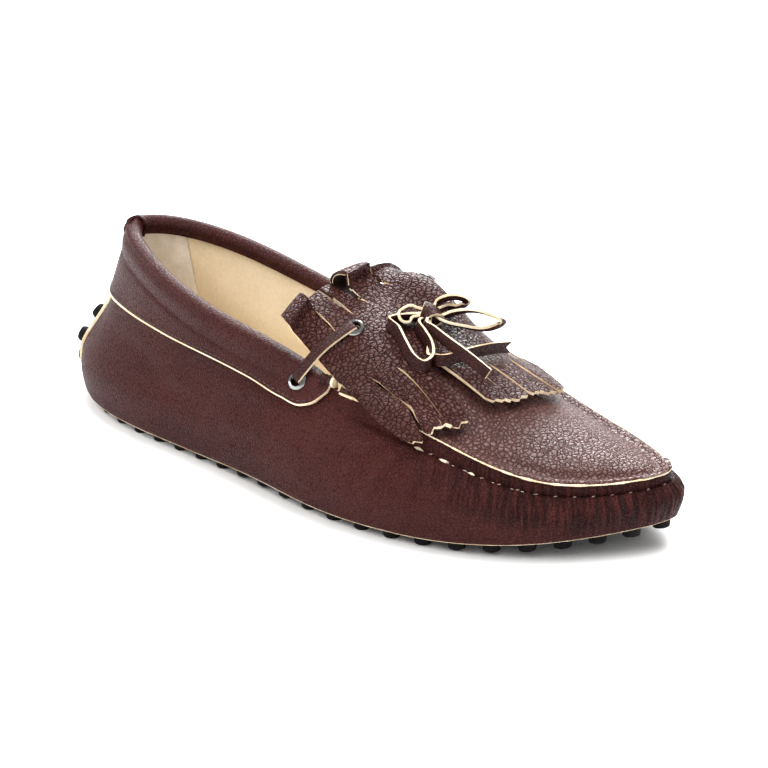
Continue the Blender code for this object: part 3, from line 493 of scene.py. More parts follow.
    def wall(self, shares: Array, rises: Array) -> Array:
        """Points of the wall's outer face, drawn smoothly through the frame's columns.

        Args:
            shares: places round the shoe.
            rises: for each place, a row of heights up the wall, 0 at the sole and 1 at the top.

        Returns:
            Shares by rises by 3.
        """
        place = np.asarray(shares) * COLUMNS
        column = np.floor(place)
        t = (place - column)[:, None, None]
        weights = (
            (2 * t**2 - t**3 - t) / 2,
            (3 * t**3 - 5 * t**2 + 2) / 2,
            (4 * t**2 - 3 * t**3 + t) / 2,
            (t**3 - t**2) / 2,
        )
        grid = np.zeros((*rises.shape, 3))
        for step, weight in zip((-1, 0, 1, 2), weights):
            grid += weight * self.column_wall((column + step) / COLUMNS, rises)
        return grid

    def column_wall(self, shares: Array, rises: Array) -> Array:
        """Points of the wall's outer face at the frame's own columns, shares by rises by 3."""
        table = np.array(self.sections)
        tall, broad = self.collar_height, self.ball_width
        scale = (tall, broad, tall, broad, tall)
        ats = np.r_[table[-2:, 0] - 1, table[:, 0], table[:2, 0] + 1]
        values = np.vstack([table[-2:, 1:], table[:, 1:], table[:2, 1:]])
        rows = hermite(ats, values, np.asarray(shares) % 1.0) * scale
        plan, outward = self.edge(shares)
        grid = np.empty((*rises.shape, 3))
        for i, (belly, mid_in, mid_up, top_in, top_up) in enumerate(rows):
            profile = np.array(
                [
                    (self.turn_under, self.edge_up),
                    (self.curl_in, self.curl_up),
                    (0.0, belly),
                    (mid_in, mid_up),
                    (top_in, top_up),
                ]
            )
            steps = np.sqrt(np.linalg.norm(np.diff(profile, axis=0), axis=1))
            ats = np.r_[0, np.cumsum(steps)]
            curve = hermite(ats / ats[-1], profile, rises[i])
            grid[i, :, :2] = plan[i] - outward[i] * curve[:, :1]
            grid[i, :, 2] = self.sole_height(grid[i, :, 0]) + curve[:, 1]
        return grid

    def surface(self, shares: Array, rises: Array) -> Pair:
        """Points and outward normals of the wall."""
        around, over = 0.0015, 0.004
        ahead = self.wall(shares + around, rises) - self.wall(shares - around, rises)
        high = np.minimum(rises + over, 1.0)
        low = np.maximum(rises - over, 0.0)
        climb = self.wall(shares, high) - self.wall(shares, low)
        return self.wall(shares, rises), unit(np.cross(ahead, climb))

    def patch(self, shares: Array, rises: Array) -> Pair:
        """Points and outward normals of the wall, with the same heights at every place round it."""
        return self.surface(shares, np.tile(rises, (len(shares), 1)))

    def at(self, column: float, rise: float) -> Pair:
        """One point and normal of the wall, at a column of the frame's source."""
        points, normals = self.surface(np.array([column / COLUMNS]), np.array([[rise]]))
        return points[0, 0], normals[0, 0]

    def rungs(self, shares: Array, across: Array) -> Array:
        """Points of the apron, without its raised seam.

        Args:
            shares: places of the rungs' lateral ends, from the throat to the toe tip.
            across: places along each rung, 0 at the lateral and 1 at the medial seam.

        Returns:
            Across by shares by 3.
        """
        one = np.ones((len(shares), 1))
        left = self.wall(shares, one)[:, 0]
        right = self.wall(1 - shares, one)[:, 0]
        table = np.array(self.crown)
        ahead = (shares - THROAT) / (0.5 - THROAT)
        crown = hermite(table[:, 0], table[:, 1:], ahead)[:, 0] * self.collar_height
        w = across[:, None, None]
        arch = 1 - np.abs(2 * across[:, None] - 1) ** CROWN_POWER
        points = left[None] * (1 - w) + right[None] * w
        points[..., 2] += crown[None] * arch
        return points


class Graph:
    """Adds and links shader nodes."""

    def __init__(self, tree: bpy.types.NodeTree) -> None:
        """Works in one node tree."""
        self.tree = tree

    def node(self, kind: str, inputs: dict | None = None, **settings: object) -> bpy.types.Node:
        """A node with its settings, and its inputs set or linked by name or number."""
        made = self.tree.nodes.new(kind)
        for key, value in settings.items():
            setattr(made, key, value)
        for key, value in (inputs or {}).items():
            if isinstance(value, Socket):
                self.tree.links.new(value, made.inputs[key])
            else:
                made.inputs[key].default_value = value
        return made

    def math(self, operation: str, a: object, b: object = 0.0, clamp: bool = False) -> Socket:
        """One math node's result."""
        return self.node("ShaderNodeMath", {0: a, 1: b}, operation=operation, use_clamp=clamp).outputs[0]

    def ramp(self, value: object, low: float, high: object, out_low: float, out_high: float) -> Socket:
        """A soft map of one range to another."""
        made = self.node(
            "ShaderNodeMapRange",
            {"Value": value, 1: low, 2: high, 3: out_low, 4: out_high},
            interpolation_type="SMOOTHSTEP",
        )
        return made.outputs[0]

    def cells(self, vector: object, scale: object) -> Socket:
        """Distance to the nearest edge between uneven cells."""
        inputs = {"Vector": vector, "Scale": scale, "Randomness": 1.0}
        return self.node("ShaderNodeTexVoronoi", inputs, feature="DISTANCE_TO_EDGE").outputs["Distance"]

    def mix(self, share: object, a: object, b: object, blend: str = "MIX") -> Socket:
        """A mix of two colours."""
        made = self.node("ShaderNodeMix", {0: share, 6: a, 7: b}, data_type="RGBA", blend_type=blend)
        return made.outputs[2]

    def noise(self, vector: object, scale: float, detail: float = 2.0, rough: float = 0.5) -> Socket:
        """Noise from 0 to 1."""
        inputs = {"Vector": vector, "Scale": scale, "Detail": detail, "Roughness": rough}
        return self.node("ShaderNodeTexNoise", inputs).outputs[0]


def new_material(name: str) -> tuple[bpy.types.Material, Graph, bpy.types.Node, Socket]:
    """A material, its graph, its shader, and the places on the piece that its patterns read."""
    material = bpy.data.materials.new(name)
    material.use_nodes = True
    graph = Graph(material.node_tree)
    shader = material.node_tree.nodes["Principled BSDF"]
    return material, graph, shader, graph.node("ShaderNodeTexCoord").outputs["Object"]


class Groups:
    """Effects that several finishes share, each built once as a node group."""

    @staticmethod
    def new(
        name: str, inputs: dict[str, float | None], outputs: list[str]
    ) -> tuple[Graph, bpy.types.Node, bpy.types.Node]:
        """An empty group with its sockets, where an input of None is a vector."""
        tree = bpy.data.node_groups.new(name, "ShaderNodeTree")
        for key, value in inputs.items():
            kind = "NodeSocketVector" if value is None else "NodeSocketFloat"
            socket = tree.interface.new_socket(key, in_out="INPUT", socket_type=kind)
            if value is not None:
                socket.default_value = value
        for key in outputs:
            tree.interface.new_socket(key, in_out="OUTPUT", socket_type="NodeSocketFloat")
        graph = Graph(tree)
        return graph, graph.node("NodeGroupInput"), graph.node("NodeGroupOutput")

    @classmethod
    def pebble(cls) -> bpy.types.NodeTree:
        """Tumbled leather grain: rounded pebbles of uneven size with creased valleys between."""
        graph, source, sink = cls.new(
            "pebble_grain",
            {"Vector": None, "Scale": 500.0, "Valley": 0.12, "Warp": 0.80},
            ["Height", "Valley"],
        )
        vector, scale = source.outputs["Vector"], source.outputs["Scale"]
        wander = graph.node(
            "ShaderNodeTexNoise",
            {"Vector": vector, "Scale": graph.math("MULTIPLY", scale, 0.85), "Detail": 3.0},
        )
        centred = graph.node(
            "ShaderNodeVectorMath",
            {0: wander.outputs["Color"], 1: (0.5, 0.5, 0.5)},
            operation="SUBTRACT",
        )
        pull = graph.math("DIVIDE", source.outputs["Warp"], scale)
        shift = graph.node(
            "ShaderNodeVectorMath",
            {0: centred.outputs[0], "Scale": pull},
            operation="SCALE",
        )
        warped = graph.node("ShaderNodeVectorMath", {0: vector, 1: shift.outputs[0]}).outputs[0]
        cells = graph.cells(warped, scale)
        fine = graph.cells(warped, graph.math("MULTIPLY", scale, 2.3))
        dome = graph.node(
            "ShaderNodeMapRange",
            {"Value": cells, 1: 0.0, 2: 0.26, 3: 0.0, 4: 1.0},
            interpolation_type="SMOOTHERSTEP",
        ).outputs[0]
        creased = graph.ramp(fine, 0.0, 0.09, 0.0, 0.16)
        pores = graph.math("MULTIPLY", graph.noise(vector, 3000.0, 2.0), 0.10)
        height = graph.math("ADD", graph.math("ADD", graph.math("MULTIPLY", dome, 0.85), creased), pores)
        # Valley: 1 at the cells' edges; the mask for the painted shade in the creases and for their lowered
        # reflection
        valley = graph.ramp(cells, 0.0, source.outputs["Valley"], 1.0, 0.0)
        graph.tree.links.new(height, sink.inputs["Height"])
        graph.tree.links.new(valley, sink.inputs["Valley"])
        return graph.tree

    @classmethod
    def mottle(cls) -> bpy.types.NodeTree:
        """Broad and small colour clouds of dyed leather."""
        graph, source, sink = cls.new("dye_mottle", {"Vector": None}, ["Cloud"])
        broad = graph.noise(source.outputs["Vector"], 26.0, 2.0)
        small = graph.noise(source.outputs["Vector"], 240.0, 3.0, 0.6)
        both = graph.math("ADD", graph.math("MULTIPLY", broad, 0.65), graph.math("MULTIPLY", small, 0.35))
        graph.tree.links.new(graph.ramp(both, 0.34, 0.66, 0.0, 1.0), sink.inputs["Cloud"])
        return graph.tree


@dataclass(frozen=True)
class LeatherFinish:
    """A grained, dyed leather.

    Attributes:
        name: the material's name.
        dark: colour in its clouds, and darkened further as painted shade in its valleys.
        light: colour on its pebbles.
        cell: size of a pebble, in metres.
        depth: height of its grain, in metres.
        roughness: how mat it is.
        coat: weight of its dressed gloss.
        pleats: depth of fine gathers where the piece's own "pleat" attribute is 1; where it is set, the
            gathers' hollows also get painted shade.
        shine: level of its plain reflection.
        valley: how strongly painted shade darkens the creases between its pebbles, which also lowers their
            reflection.
        sunk: colour of the painted shade at the bottom of a crease and in the pleats' hollows, as a share
            of dark.
        pleat_scale: how many gathers there are along and up the wall in a metre.
    """

    name: str
    dark: Triple
    light: Triple
    cell: float = 0.0018
    depth: float = 0.00022
    roughness: float = 0.5
    coat: float = 0.0
    pleats: float = 0.0
    shine: float = 0.2
    valley: float = 0.55
    sunk: float = 0.18
    pleat_scale: Triple = (560.0, 62.0, 1.0)

    def build(self, pebble: bpy.types.NodeTree, mottle: bpy.types.NodeTree) -> bpy.types.Material:
        """The material."""
        material, graph, shader, place = new_material(self.name)
        grain = graph.node("ShaderNodeGroup", node_tree=pebble)
        material.node_tree.links.new(place, grain.inputs["Vector"])
        grain.inputs["Scale"].default_value = 1 / self.cell
        clouds = graph.node("ShaderNodeGroup", node_tree=mottle)
        material.node_tree.links.new(place, clouds.inputs["Vector"])
        base = graph.mix(clouds.outputs[0], (*self.dark, 1), (*self.light, 1))
        # Painted shade: the creases between the pebbles are darkened towards a near-black share of dark
        sunk = tuple(c * self.sunk for c in self.dark)
        valley = graph.math("MULTIPLY", grain.outputs["Valley"], self.valley)
        colour = graph.mix(valley, base, (*sunk, 1))
        height = grain.outputs["Height"]
        if self.pleats:
            amount = graph.node("ShaderNodeAttribute", attribute_name="pleat").outputs["Fac"]
            run = graph.node("ShaderNodeUVMap").outputs[0]
            drawn = graph.node("ShaderNodeMapping", {"Vector": run, "Scale": self.pleat_scale}).outputs[0]
            fold = graph.ramp(graph.noise(drawn, 1.0, 3.0, 0.55), 0.36, 0.62, 0.0, 1.0)
            folds = graph.math("MULTIPLY", graph.math("MULTIPLY", fold, amount), self.pleats)
            height = graph.math("ADD", height, folds)
            # Painted shade: the hollows between the pleats are darkened towards the crease colour where the
            # pleat attribute is set
            hollow = graph.math("SUBTRACT", 1.0, fold)
            pleat_shade = graph.math("MULTIPLY", hollow, graph.math("MULTIPLY", amount, 0.80))
            colour = graph.mix(pleat_shade, colour, (*sunk, 1))
        relief = graph.node("ShaderNodeBump", {"Height": height, "Distance": self.depth, "Strength": 1.0})
        dull = min(1.0, self.roughness + 0.14)
        rough = graph.ramp(grain.outputs["Height"], 0.0, 1.0, dull, self.roughness)
        links = material.node_tree.links
        links.new(colour, shader.inputs["Base Color"])
        links.new(rough, shader.inputs["Roughness"])
        links.new(relief.outputs[0], shader.inputs["Normal"])
        open_face = graph.math("SUBTRACT", 1.0, valley)
        links.new(graph.math("MULTIPLY", open_face, self.shine), shader.inputs["Specular IOR Level"])
        if self.coat:
            links.new(graph.math("MULTIPLY", open_face, self.coat), shader.inputs["Coat Weight"])
            shader.inputs["Coat Roughness"].default_value = 0.30
            shader.inputs["Coat IOR"].default_value = 1.45
            links.new(relief.outputs[0], shader.inputs["Coat Normal"])
        return material


@dataclass(frozen=True)
class PlainFinish:
    """A finish of two near colours with fine relief: raw edges, lining, rubber, thread and metal."""

    name: str
    dark: Triple
    light: Triple
    scale: float = 600.0
    depth: float = 0.00008
    roughness: float = 0.7
    metallic: float = 0.0
    sheen: float = 0.0
    shine: float = 0.5

    def build(self) -> bpy.types.Material:
        """The material."""
        material, graph, shader, place = new_material(self.name)
        fine = graph.noise(place, self.scale, 4.0, 0.6)
        broad = graph.noise(place, self.scale * 0.07, 2.0)
        both = graph.math("ADD", graph.math("MULTIPLY", fine, 0.5), graph.math("MULTIPLY", broad, 0.5))
        colour = graph.mix(graph.ramp(both, 0.38, 0.62, 0.0, 1.0), (*self.dark, 1), (*self.light, 1))
        relief = graph.node("ShaderNodeBump", {"Height": fine, "Distance": self.depth, "Strength": 1.0})
        rough = graph.ramp(fine, 0.3, 0.7, self.roughness - 0.06, min(1.0, self.roughness + 0.06))
        links = material.node_tree.links
        links.new(colour, shader.inputs["Base Color"])
        links.new(rough, shader.inputs["Roughness"])
        links.new(relief.outputs[0], shader.inputs["Normal"])
        shader.inputs["Metallic"].default_value = self.metallic
        shader.inputs["Specular IOR Level"].default_value = self.shine
        if self.sheen:
            shader.inputs["Sheen Weight"].default_value = self.sheen
        return material


class Finishes:
    """Every material of the shoe, built once."""

    def __init__(self) -> None:
        """Builds the shared groups and the materials."""
        pebble, mottle = Groups.pebble(), Groups.mottle()
        # Painted shade: the wall's copy of the upper leather is given darker colours than the apron's, for
        # the shade on the side walls
        self.wall = LeatherFinish(
            "oxblood_wall_painted_shade",
            (0.037, 0.0070, 0.0060),
            (0.055, 0.0114, 0.0092),
            cell=0.0013,
            depth=0.00032,
            roughness=0.46,
            pleats=3.2,
            shine=0.13,
            valley=0.50,
        ).build(pebble, mottle)
        # Painted light: the apron's copy of the same upper leather is given lighter colours, for the light
        # on the top of the foot
        self.apron = LeatherFinish(
            "oxblood_apron_painted_light",
            (0.060, 0.0170, 0.0130),
            (0.086, 0.0255, 0.0190),
            cell=0.0017,
            depth=0.00036,
            roughness=0.36,
            coat=0.26,
            shine=0.30,
            valley=0.75,
        ).build(pebble, mottle)
        self.band = LeatherFinish(
            "oxblood_band",
            (0.036, 0.0062, 0.0054),
            (0.053, 0.0098, 0.0080),
            cell=0.0013,
            depth=0.00024,
            roughness=0.40,
            shine=0.17,
            valley=0.45,
        ).build(pebble, mottle)
        self.kiltie = LeatherFinish(
            "oxblood_kiltie",
            (0.044, 0.0102, 0.0078),
            (0.066, 0.0168, 0.0126),
            cell=0.0018,
            depth=0.00062,
            roughness=0.33,
            coat=0.10,
            shine=0.16,
            valley=0.90,
        ).build(pebble, mottle)
        self.lace = LeatherFinish(
            "oxblood_lace",
            (0.026, 0.0062, 0.0050),
            (0.044, 0.0108, 0.0086),
            cell=0.0014,
            depth=0.00018,
            roughness=0.42,
            shine=0.2,
        ).build(pebble, mottle)
        self.flesh = PlainFinish(
            "flesh_side",
            (0.022, 0.008, 0.006),
            (0.038, 0.014, 0.010),
            900,
            0.0001,
            0.9,
            sheen=0.1,
            shine=0.1,
        ).build()
        self.raw_edge = PlainFinish(
            "raw_edge", (0.66, 0.47, 0.28), (0.90, 0.76, 0.55), 1100, 0.00014, 0.85, shine=0.2
        ).build()
        self.lining = PlainFinish(
            "calf_lining", (0.76, 0.64, 0.46), (0.84, 0.73, 0.55), 700, 0.00003, 0.6, shine=0.3
        ).build()
        self.grip = PlainFinish(
            "suede_grip", (0.72, 0.66, 0.60), (0.86, 0.81, 0.76), 1500, 0.00010, 0.95, sheen=0.2, shine=0.1
        ).build()
        self.rubber = PlainFinish(
            "stud_rubber", (0.005, 0.0045, 0.0045), (0.011, 0.0095, 0.0090), 900, 0.00005, 0.65, shine=0.06
        ).build()
        self.metal = PlainFinish(
            "gunmetal", (0.20, 0.20, 0.20), (0.30, 0.30, 0.29), 2500, 0.00001, 0.20, metallic=1.0
        ).build()
        self.thread = PlainFinish(
            "waxed_thread", (0.016, 0.006, 0.005), (0.045, 0.018, 0.013), 3000, 0.00006, 0.6
        ).build()
        # The seam's thread, coloured pale all over as a painted highlight for the glints on it
        self.thread_painted_glint = PlainFinish(
            "thread_painted_glint", (0.24, 0.16, 0.12), (0.50, 0.40, 0.32), 3000, 0.00006, 0.5
        ).build()


@dataclass(frozen=True)
class Lamp:
    """One square soft lamp.

    Attributes:
        name: the lamp's name.
        place: where it hangs, in metres from the shoe.
        size: the length of its side, in metres.
        power: its power, in watts.
    """

    name: str
    place: Triple
    size: float
    power: float

    def hang(self) -> None:
        """Adds the lamp, turned to the shoe."""
        data = bpy.data.lights.new(self.name, "AREA")
        data.size = self.size
        data.energy = self.power
        lamp = bpy.data.objects.new(self.name, data)
        lamp.location = self.place
        lamp.rotation_euler = Vector(self.place).to_track_quat("Z", "Y").to_euler()
        bpy.context.scene.collection.objects.link(lamp)


@dataclass
class Studio:
    """Camera, pale floor and soft light."""

    target: Triple = (0.020456, 0.000399, 0.037194)
    azimuth: float = 38.175
    elevation: float = 22.311
    distance: float = 0.662914
    lens: float = 80.24
    roll: float = -0.628
    floor_size: float = 7.0
    surround: float = 0.66
    lamps: tuple[Lamp, ...] = (
        Lamp("key", (0.10, 0.22, 1.35), 0.9, 25.0),
        Lamp("back", (-0.55, 0.95, 0.60), 0.5, 16.0),
        Lamp("fill", (-0.25, -0.95, 1.15), 0.8, 15.0),
        Lamp("sweep", (-1.4, 1.9, 2.2), 2.8, 110.0),
    )

    def build(self) -> None:
        """Sets the stage."""
        self.camera()
        self.floor()
        self.lights()

    def camera(self) -> None:
        """The photograph's view."""
        a, e = math.radians(self.azimuth), math.radians(self.elevation)
        back = Vector((math.sin(a) * math.cos(e), -math.cos(a) * math.cos(e), math.sin(e)))
        camera = bpy.data.objects.new("camera", bpy.data.cameras.new("camera"))
        bpy.context.scene.collection.objects.link(camera)
        camera.data.lens = self.lens
        camera.data.sensor_width = 36.0
        camera.data.clip_start = 0.01
        camera.location = Vector(self.target) + back * self.distance
        camera.rotation_mode = "QUATERNION"
        turn = Quaternion((0, 0, 1), math.radians(-self.roll))
        camera.rotation_quaternion = (-back).to_track_quat("-Z", "Y") @ turn
        bpy.context.scene.camera = camera

    def floor(self) -> None:
        """A plain pale floor."""
        Bench.clear_selection()
        bpy.ops.mesh.primitive_plane_add(size=self.floor_size)
        floor = bpy.context.object
        floor.name = "floor"
        finish = PlainFinish("pale_floor", (0.90, 0.90, 0.90), (0.92, 0.92, 0.92), 40, 0.0, 0.9).build()
        floor.data.materials.append(finish)

    def lights(self) -> None:
        """A pale surround and four large soft lamps."""
        world = bpy.data.worlds.new("surround")
        world.use_nodes = True
        surround = world.node_tree.nodes["Background"]
        surround.inputs["Color"].default_value = (1.0, 1.0, 1.0, 1.0)
        surround.inputs["Strength"].default_value = self.surround
        bpy.context.scene.world = world
        for lamp in self.lamps:
            lamp.hang()
        bpy.context.scene.view_settings.view_transform = "Standard"
        bpy.context.scene.view_settings.look = "None"


@dataclass
class Crease:
    """One soft fold in the side: a trough with a ridge beside it.

    Attributes:
        share: its middle round the shoe.
        rise: its middle up the wall.
        reach: half its length, in metres.
        wide: half its width, in metres.
        lean: its turn from level, in degrees, rising towards the toe.
        depth: its depth, in metres.
    """

    share: float
    rise: float
    reach: float
    wide: float
    lean: float
    depth: float

    def press(self, run: Array, height: Array, centre: tuple[float, float]) -> Array:
        """How far it moves each place, in along the normal below zero."""
        c, s = math.cos(math.radians(self.lean)), math.sin(math.radians(self.lean))
        along = (run - centre[0]) * c + (height - centre[1]) * s
        off = (height - centre[1]) * c - (run - centre[0]) * s
        off = off + 0.12 * self.reach * (along / self.reach) ** 2
        trough = -bump(off, 0, self.wide)
        ridge = 0.7 * bump(off, 1.9 * self.wide, 1.2 * self.wide)
        return self.depth * (trough + ridge) * bump(along, 0, self.reach)


@dataclass
class Upper:
    """The wall and apron leather with their raised seam, and the lining inside."""

    last: Last
    finishes: Finishes
    leather: float = 0.0010
    lining: float = 0.0006
    lining_gap: float = 0.00015
    grip: float = 0.0006
    grip_gap: float = 0.0001
    toe_fade: tuple[float, float] = (0.315, 0.40)
    gather_pitch: float = 0.0026
    gather_cross: float = 0.0041
    gather_depth: float = 0.00026
    heel_step: float = 1 / 560
    toe_step: float = 1 / 1400
    toe_from: float = 0.30
    crease_rise: float = 0.90
    creases: tuple[Crease, ...] = (
        Crease(0.335, 0.66, 0.016, 0.0022, 62, 0.0007),
        Crease(0.352, 0.60, 0.015, 0.0020, 66, 0.0006),
        Crease(0.318, 0.62, 0.015, 0.0024, 58, 0.0006),
        Crease(0.300, 0.55, 0.020, 0.0026, 24, 0.0006),
        Crease(0.372, 0.62, 0.012, 0.0018, 74, 0.0005),
        Crease(0.215, 0.60, 0.034, 0.0030, 4, 0.0006),
        Crease(0.165, 0.48, 0.028, 0.0032, -6, 0.0005),
        Crease(0.115, 0.60, 0.022, 0.0028, -10, 0.0005),
        Crease(0.240, 0.40, 0.030, 0.0030, 8, 0.0005),
        Crease(0.660, 0.64, 0.016, 0.0022, -62, 0.0007),
        Crease(0.685, 0.58, 0.018, 0.0024, -50, 0.0006),
        Crease(0.790, 0.58, 0.034, 0.0030, -6, 0.0006),
        Crease(0.880, 0.55, 0.026, 0.0030, 8, 0.0005),
    )
    crest: Array = field(init=False)

    def half_shares(self) -> Array:
        """Places from the heel back to the toe tip, closer together at the toe."""
        heel = np.arange(0, self.toe_from, self.heel_step)
        return np.r_[heel, np.arange(self.toe_from, 0.5, self.toe_step), 0.5]

    def seam_fade(self, shares: Array) -> Array:
        """1 where the raised seam runs, and 0 round the collar."""
        near = np.minimum(shares % 1.0, 1 - shares % 1.0)
        return np.clip((near - THROAT) * COLUMNS / 1.5, 0, 1)

    def build(self) -> None:
        """Makes the wall, the apron, the seam and the lining."""
        self.wall_piece()
        self.apron_piece()
        self.raw_seam()
        self.seam_thread()
        self.lining_piece()

    def seam_lift(self, shares: Array) -> Array:
        """How far the seam's crest stands off the plain form."""
        _, normals = self.last.surface(shares, np.ones((len(shares), 1)))
        top = unit(normals[:, 0] + UP)
        lift = self.last.ridge_height * self.seam_fade(shares)[:, None]
        return lift * (top * 0.35 + UP * 0.75)

    def wall_points(self, shares: Array, rises: Array) -> tuple[Array, Array, Array]:
        """The wall's outer face with its seam, gathers and folds.

        Args:
            shares: places round the shoe.
            rises: heights up the wall.

        Returns:
            The points, the way along and up the wall as UV, and the share of fine gathers, which also sets
            where their hollows get painted shade.
        """
        points, normals = self.last.patch(shares, rises)
        steps = np.linalg.norm(np.diff(points, axis=1), axis=2)
        height = np.c_[np.zeros(len(shares)), np.cumsum(steps, axis=1)]
        run = self.last.runs(shares)
        run = np.where(shares >= 1.0, self.last.run[-1], run)[:, None] * np.ones_like(height)
        below = height[:, -1:] - height
        fade = self.seam_fade(shares)[:, None]
        near = np.minimum(shares, 1 - shares)[:, None]
        toe = smooth_step(near, *self.toe_fade)
        crest = smooth_step(rises, self.crease_rise, 1.0)[None] * np.ones_like(height)
        groove = bump(rises, self.crease_rise - 0.005, 0.022)[None] * np.ones_like(height)
        gather = toe * smooth_step(below, 0.0022, 0.0040) * (1 - smooth_step(below, 0.009, 0.0185))
        warp = soft_noise(points, 0.006, 3.1)
        longer = soft_noise(points, 0.019, 8.4)
        waves = np.sin((run + 0.0011 * warp) * 2 * math.pi / self.gather_pitch)
        waves += 0.6 * np.sin((run + 0.0016 * longer) * 2 * math.pi / self.gather_cross + 1.3)
        move = -0.50 * self.last.ridge_height * groove * fade
        move += self.gather_depth * waves * gather * (0.6 + 0.6 * longer)
        move += 0.00030 * soft_noise(points, 0.030, 5.7) + 0.00012 * soft_noise(points, 0.011, 1.7)
        for crease in self.creases:
            k = int(np.argmin(np.abs(shares - crease.share)))
            middle = np.interp(crease.rise, rises, height[k])
            move += crease.press(run, height, (run[k, 0], middle))
        edge = smooth_step(rises, 0.0, 0.06)[None] * (1 - smooth_step(rises, 0.985, 1.0))[None]
        points = points + normals * (move * edge)[..., None]
        points += crest[..., None] * self.seam_lift(shares)[:, None]
        ribs = toe * smooth_step(below, 0.0, 0.0006) * (1 - smooth_step(below, 0.012, 0.024))
        return points, np.stack([run, height], axis=-1), ribs

    def wall_piece(self) -> None:
        """The wall, from the turned-under edge to the collar and the seam."""
        half = self.half_shares()
        shares = np.r_[half, (1 - half)[-2::-1]]
        rises = np.r_[np.linspace(0, 0.012, 2), np.linspace(0.03, 0.84, 22), np.linspace(0.86, 1, 10)]
        points, uv, ribs = self.wall_points(shares, rises)
        seam = np.where(self.seam_fade(shares) > 0)[0]
        self.crest = points[seam, -1]
        obj = Bench.sheet("upper_wall", points.transpose(1, 0, 2), uv.transpose(1, 0, 2))
        # The pleat attribute places the fine gathers' bump and the painted shade in their hollows
        attribute = obj.data.attributes.new("pleat", "FLOAT", "POINT")
        attribute.data.foreach_set("value", ribs.T.astype(np.float32).ravel())
        Bench.mark_rows(obj, len(shares) - 1)
        Bench.merge(obj)
        Bench.thicken(obj, self.leather, inner=0, rim=1)
        Bench.smooth(obj, 60)
        Bench.finish(obj, [self.finishes.wall, self.finishes.raw_edge], Slot.UPPER, ("upper",))

    def apron_points(self, shares: Array, across: Array) -> Pair:
        """The apron's outer face with the rise to its seam, and its outward normals."""
        points = self.last.rungs(shares, across)
        ahead = np.gradient(points, axis=1)
        aside = np.gradient(points, axis=0)
        normals = unit(np.cross(ahead, aside) + 1e-9 * UP)
        normals[:, -1] = normals[len(across) // 2, -3]
        tip = points[0, -1]
        long = np.linalg.norm(points[-1] - points[0], axis=1)[None]
        from_tip = np.linalg.norm(points - tip, axis=2)
        edge = np.minimum(np.minimum(across[:, None], 1 - across[:, None]) * long, from_tip)
        ridge = 1 - smooth_step(edge, 0.0009, 0.0044)
        sink = bump(edge, 0.0052, 0.0016) * 0.0004
        fade = self.seam_fade(shares)[None]
        lift = self.last.ridge_height * fade * ridge
        points = points + normals * (0.35 * lift - sink * fade)[..., None]
        points[..., 2] += 0.75 * lift
        quiet = smooth_step(edge, 0.002, 0.012)
        swell = 0.00035 * soft_noise(points, 0.022, 2.2) + 0.00015 * soft_noise(points, 0.009, 6.1)
        return points + normals * (swell * quiet)[..., None], normals

    def apron_piece(self) -> None:
        """The apron, from the throat to the toe."""
        shares = np.r_[np.arange(THROAT, 0.5, 1 / 900), 0.5]
        across = 0.5 - 0.5 * np.cos(np.linspace(0, math.pi, 61))
        points, _ = self.apron_points(shares, across)
        obj = Bench.sheet("apron", points)
        Bench.merge(obj)
        Bench.thicken(obj, self.leather, inner=0, rim=0)
        Bench.smooth(obj, 60)
        Bench.finish(obj, [self.finishes.apron, self.finishes.raw_edge], Slot.UPPER)

    def raw_seam(self) -> None:
        """The apron's cut edge, showing pale along the crest of the seam."""
        path = even_path(self.crest, 0.0006)
        ahead = unit(np.gradient(path, axis=0))
        side = unit(np.cross(ahead, UP))
        up = np.cross(side, ahead)
        ragged = 0.5 + 0.5 * soft_noise(path, 0.0016, 4.0)[:, None]
        ragged = ragged + np.maximum(0, soft_noise(path, 0.0065, 7.0))[:, None] * 2.2
        broad = 0.00020 + 0.00020 * ragged
        tall = 0.00014 + 0.00024 * ragged
        ring = []
        for k in range(9):
            angle = 2 * math.pi * k / 8
            outside = path + side * (0.0004 + broad * math.cos(angle))
            ring.append(outside - up * (0.0003 + tall * math.sin(angle)))
        obj = Bench.sheet("seam_raw_edge", np.array(ring))
        Bench.merge(obj)
        Bench.close_ends(obj, 0)
        Bench.smooth(obj, 60)
        Bench.finish(obj, [self.finishes.raw_edge], Slot.UPPER)

    def seam_thread(self) -> None:
        """The hand stitches at the foot of the seam."""
        pitch = 0.0068
        shares = np.arange(THROAT + 0.05, 1 - THROAT - 0.05, 1 / 1400)
        points, _, _ = self.wall_points(shares, np.array([0.0, 0.5, 0.885, 0.895, 0.905, 1.0]))
        line, above = points[:, 3], points[:, 4]
        run = run_along(line)
        places = []
        for at in np.arange(pitch, run[-1] - pitch, pitch):
            k = int(np.searchsorted(run, at))
            ahead = unit(line[k + 1] - line[k - 1])
            normal = unit(np.cross(ahead, above[k] - line[k]))
            lean = unit(ahead + 0.35 * unit(above[k] - line[k]))
            places.append(Bench.place(line[k] + normal * 0.0001, lean, normal))
        # The seam's thread takes the pale finish, a painted highlight for its glints
        self.stitch_row("seam_stitches", places, 0.0008, 0.00024, self.finishes.thread_painted_glint, Slot.UPPER)

    @staticmethod
    def stitch_row(
        name: str,
        places: list[Matrix],
        reach: float,
        thick: float,
        finish: bpy.types.Material,
        slot: Slot,
    ) -> None:
        """One stitch, modelled once and copied along a seam.

        Args:
            name: the row's name.
            places: where each stitch lies.
            reach: half its length, in metres.
            thick: half its width, in metres.
            finish: its thread.
            slot: the record's slot of its finish, handed on to Bench.finish, which does not use it.
        """
        stitch = Bench.ball(8, 6, (reach, thick, thick * 0.8))
        row = Bench.copies(name, stitch, places)
        Bench.smooth(row, 80)
        Bench.finish(row, [finish], slot)

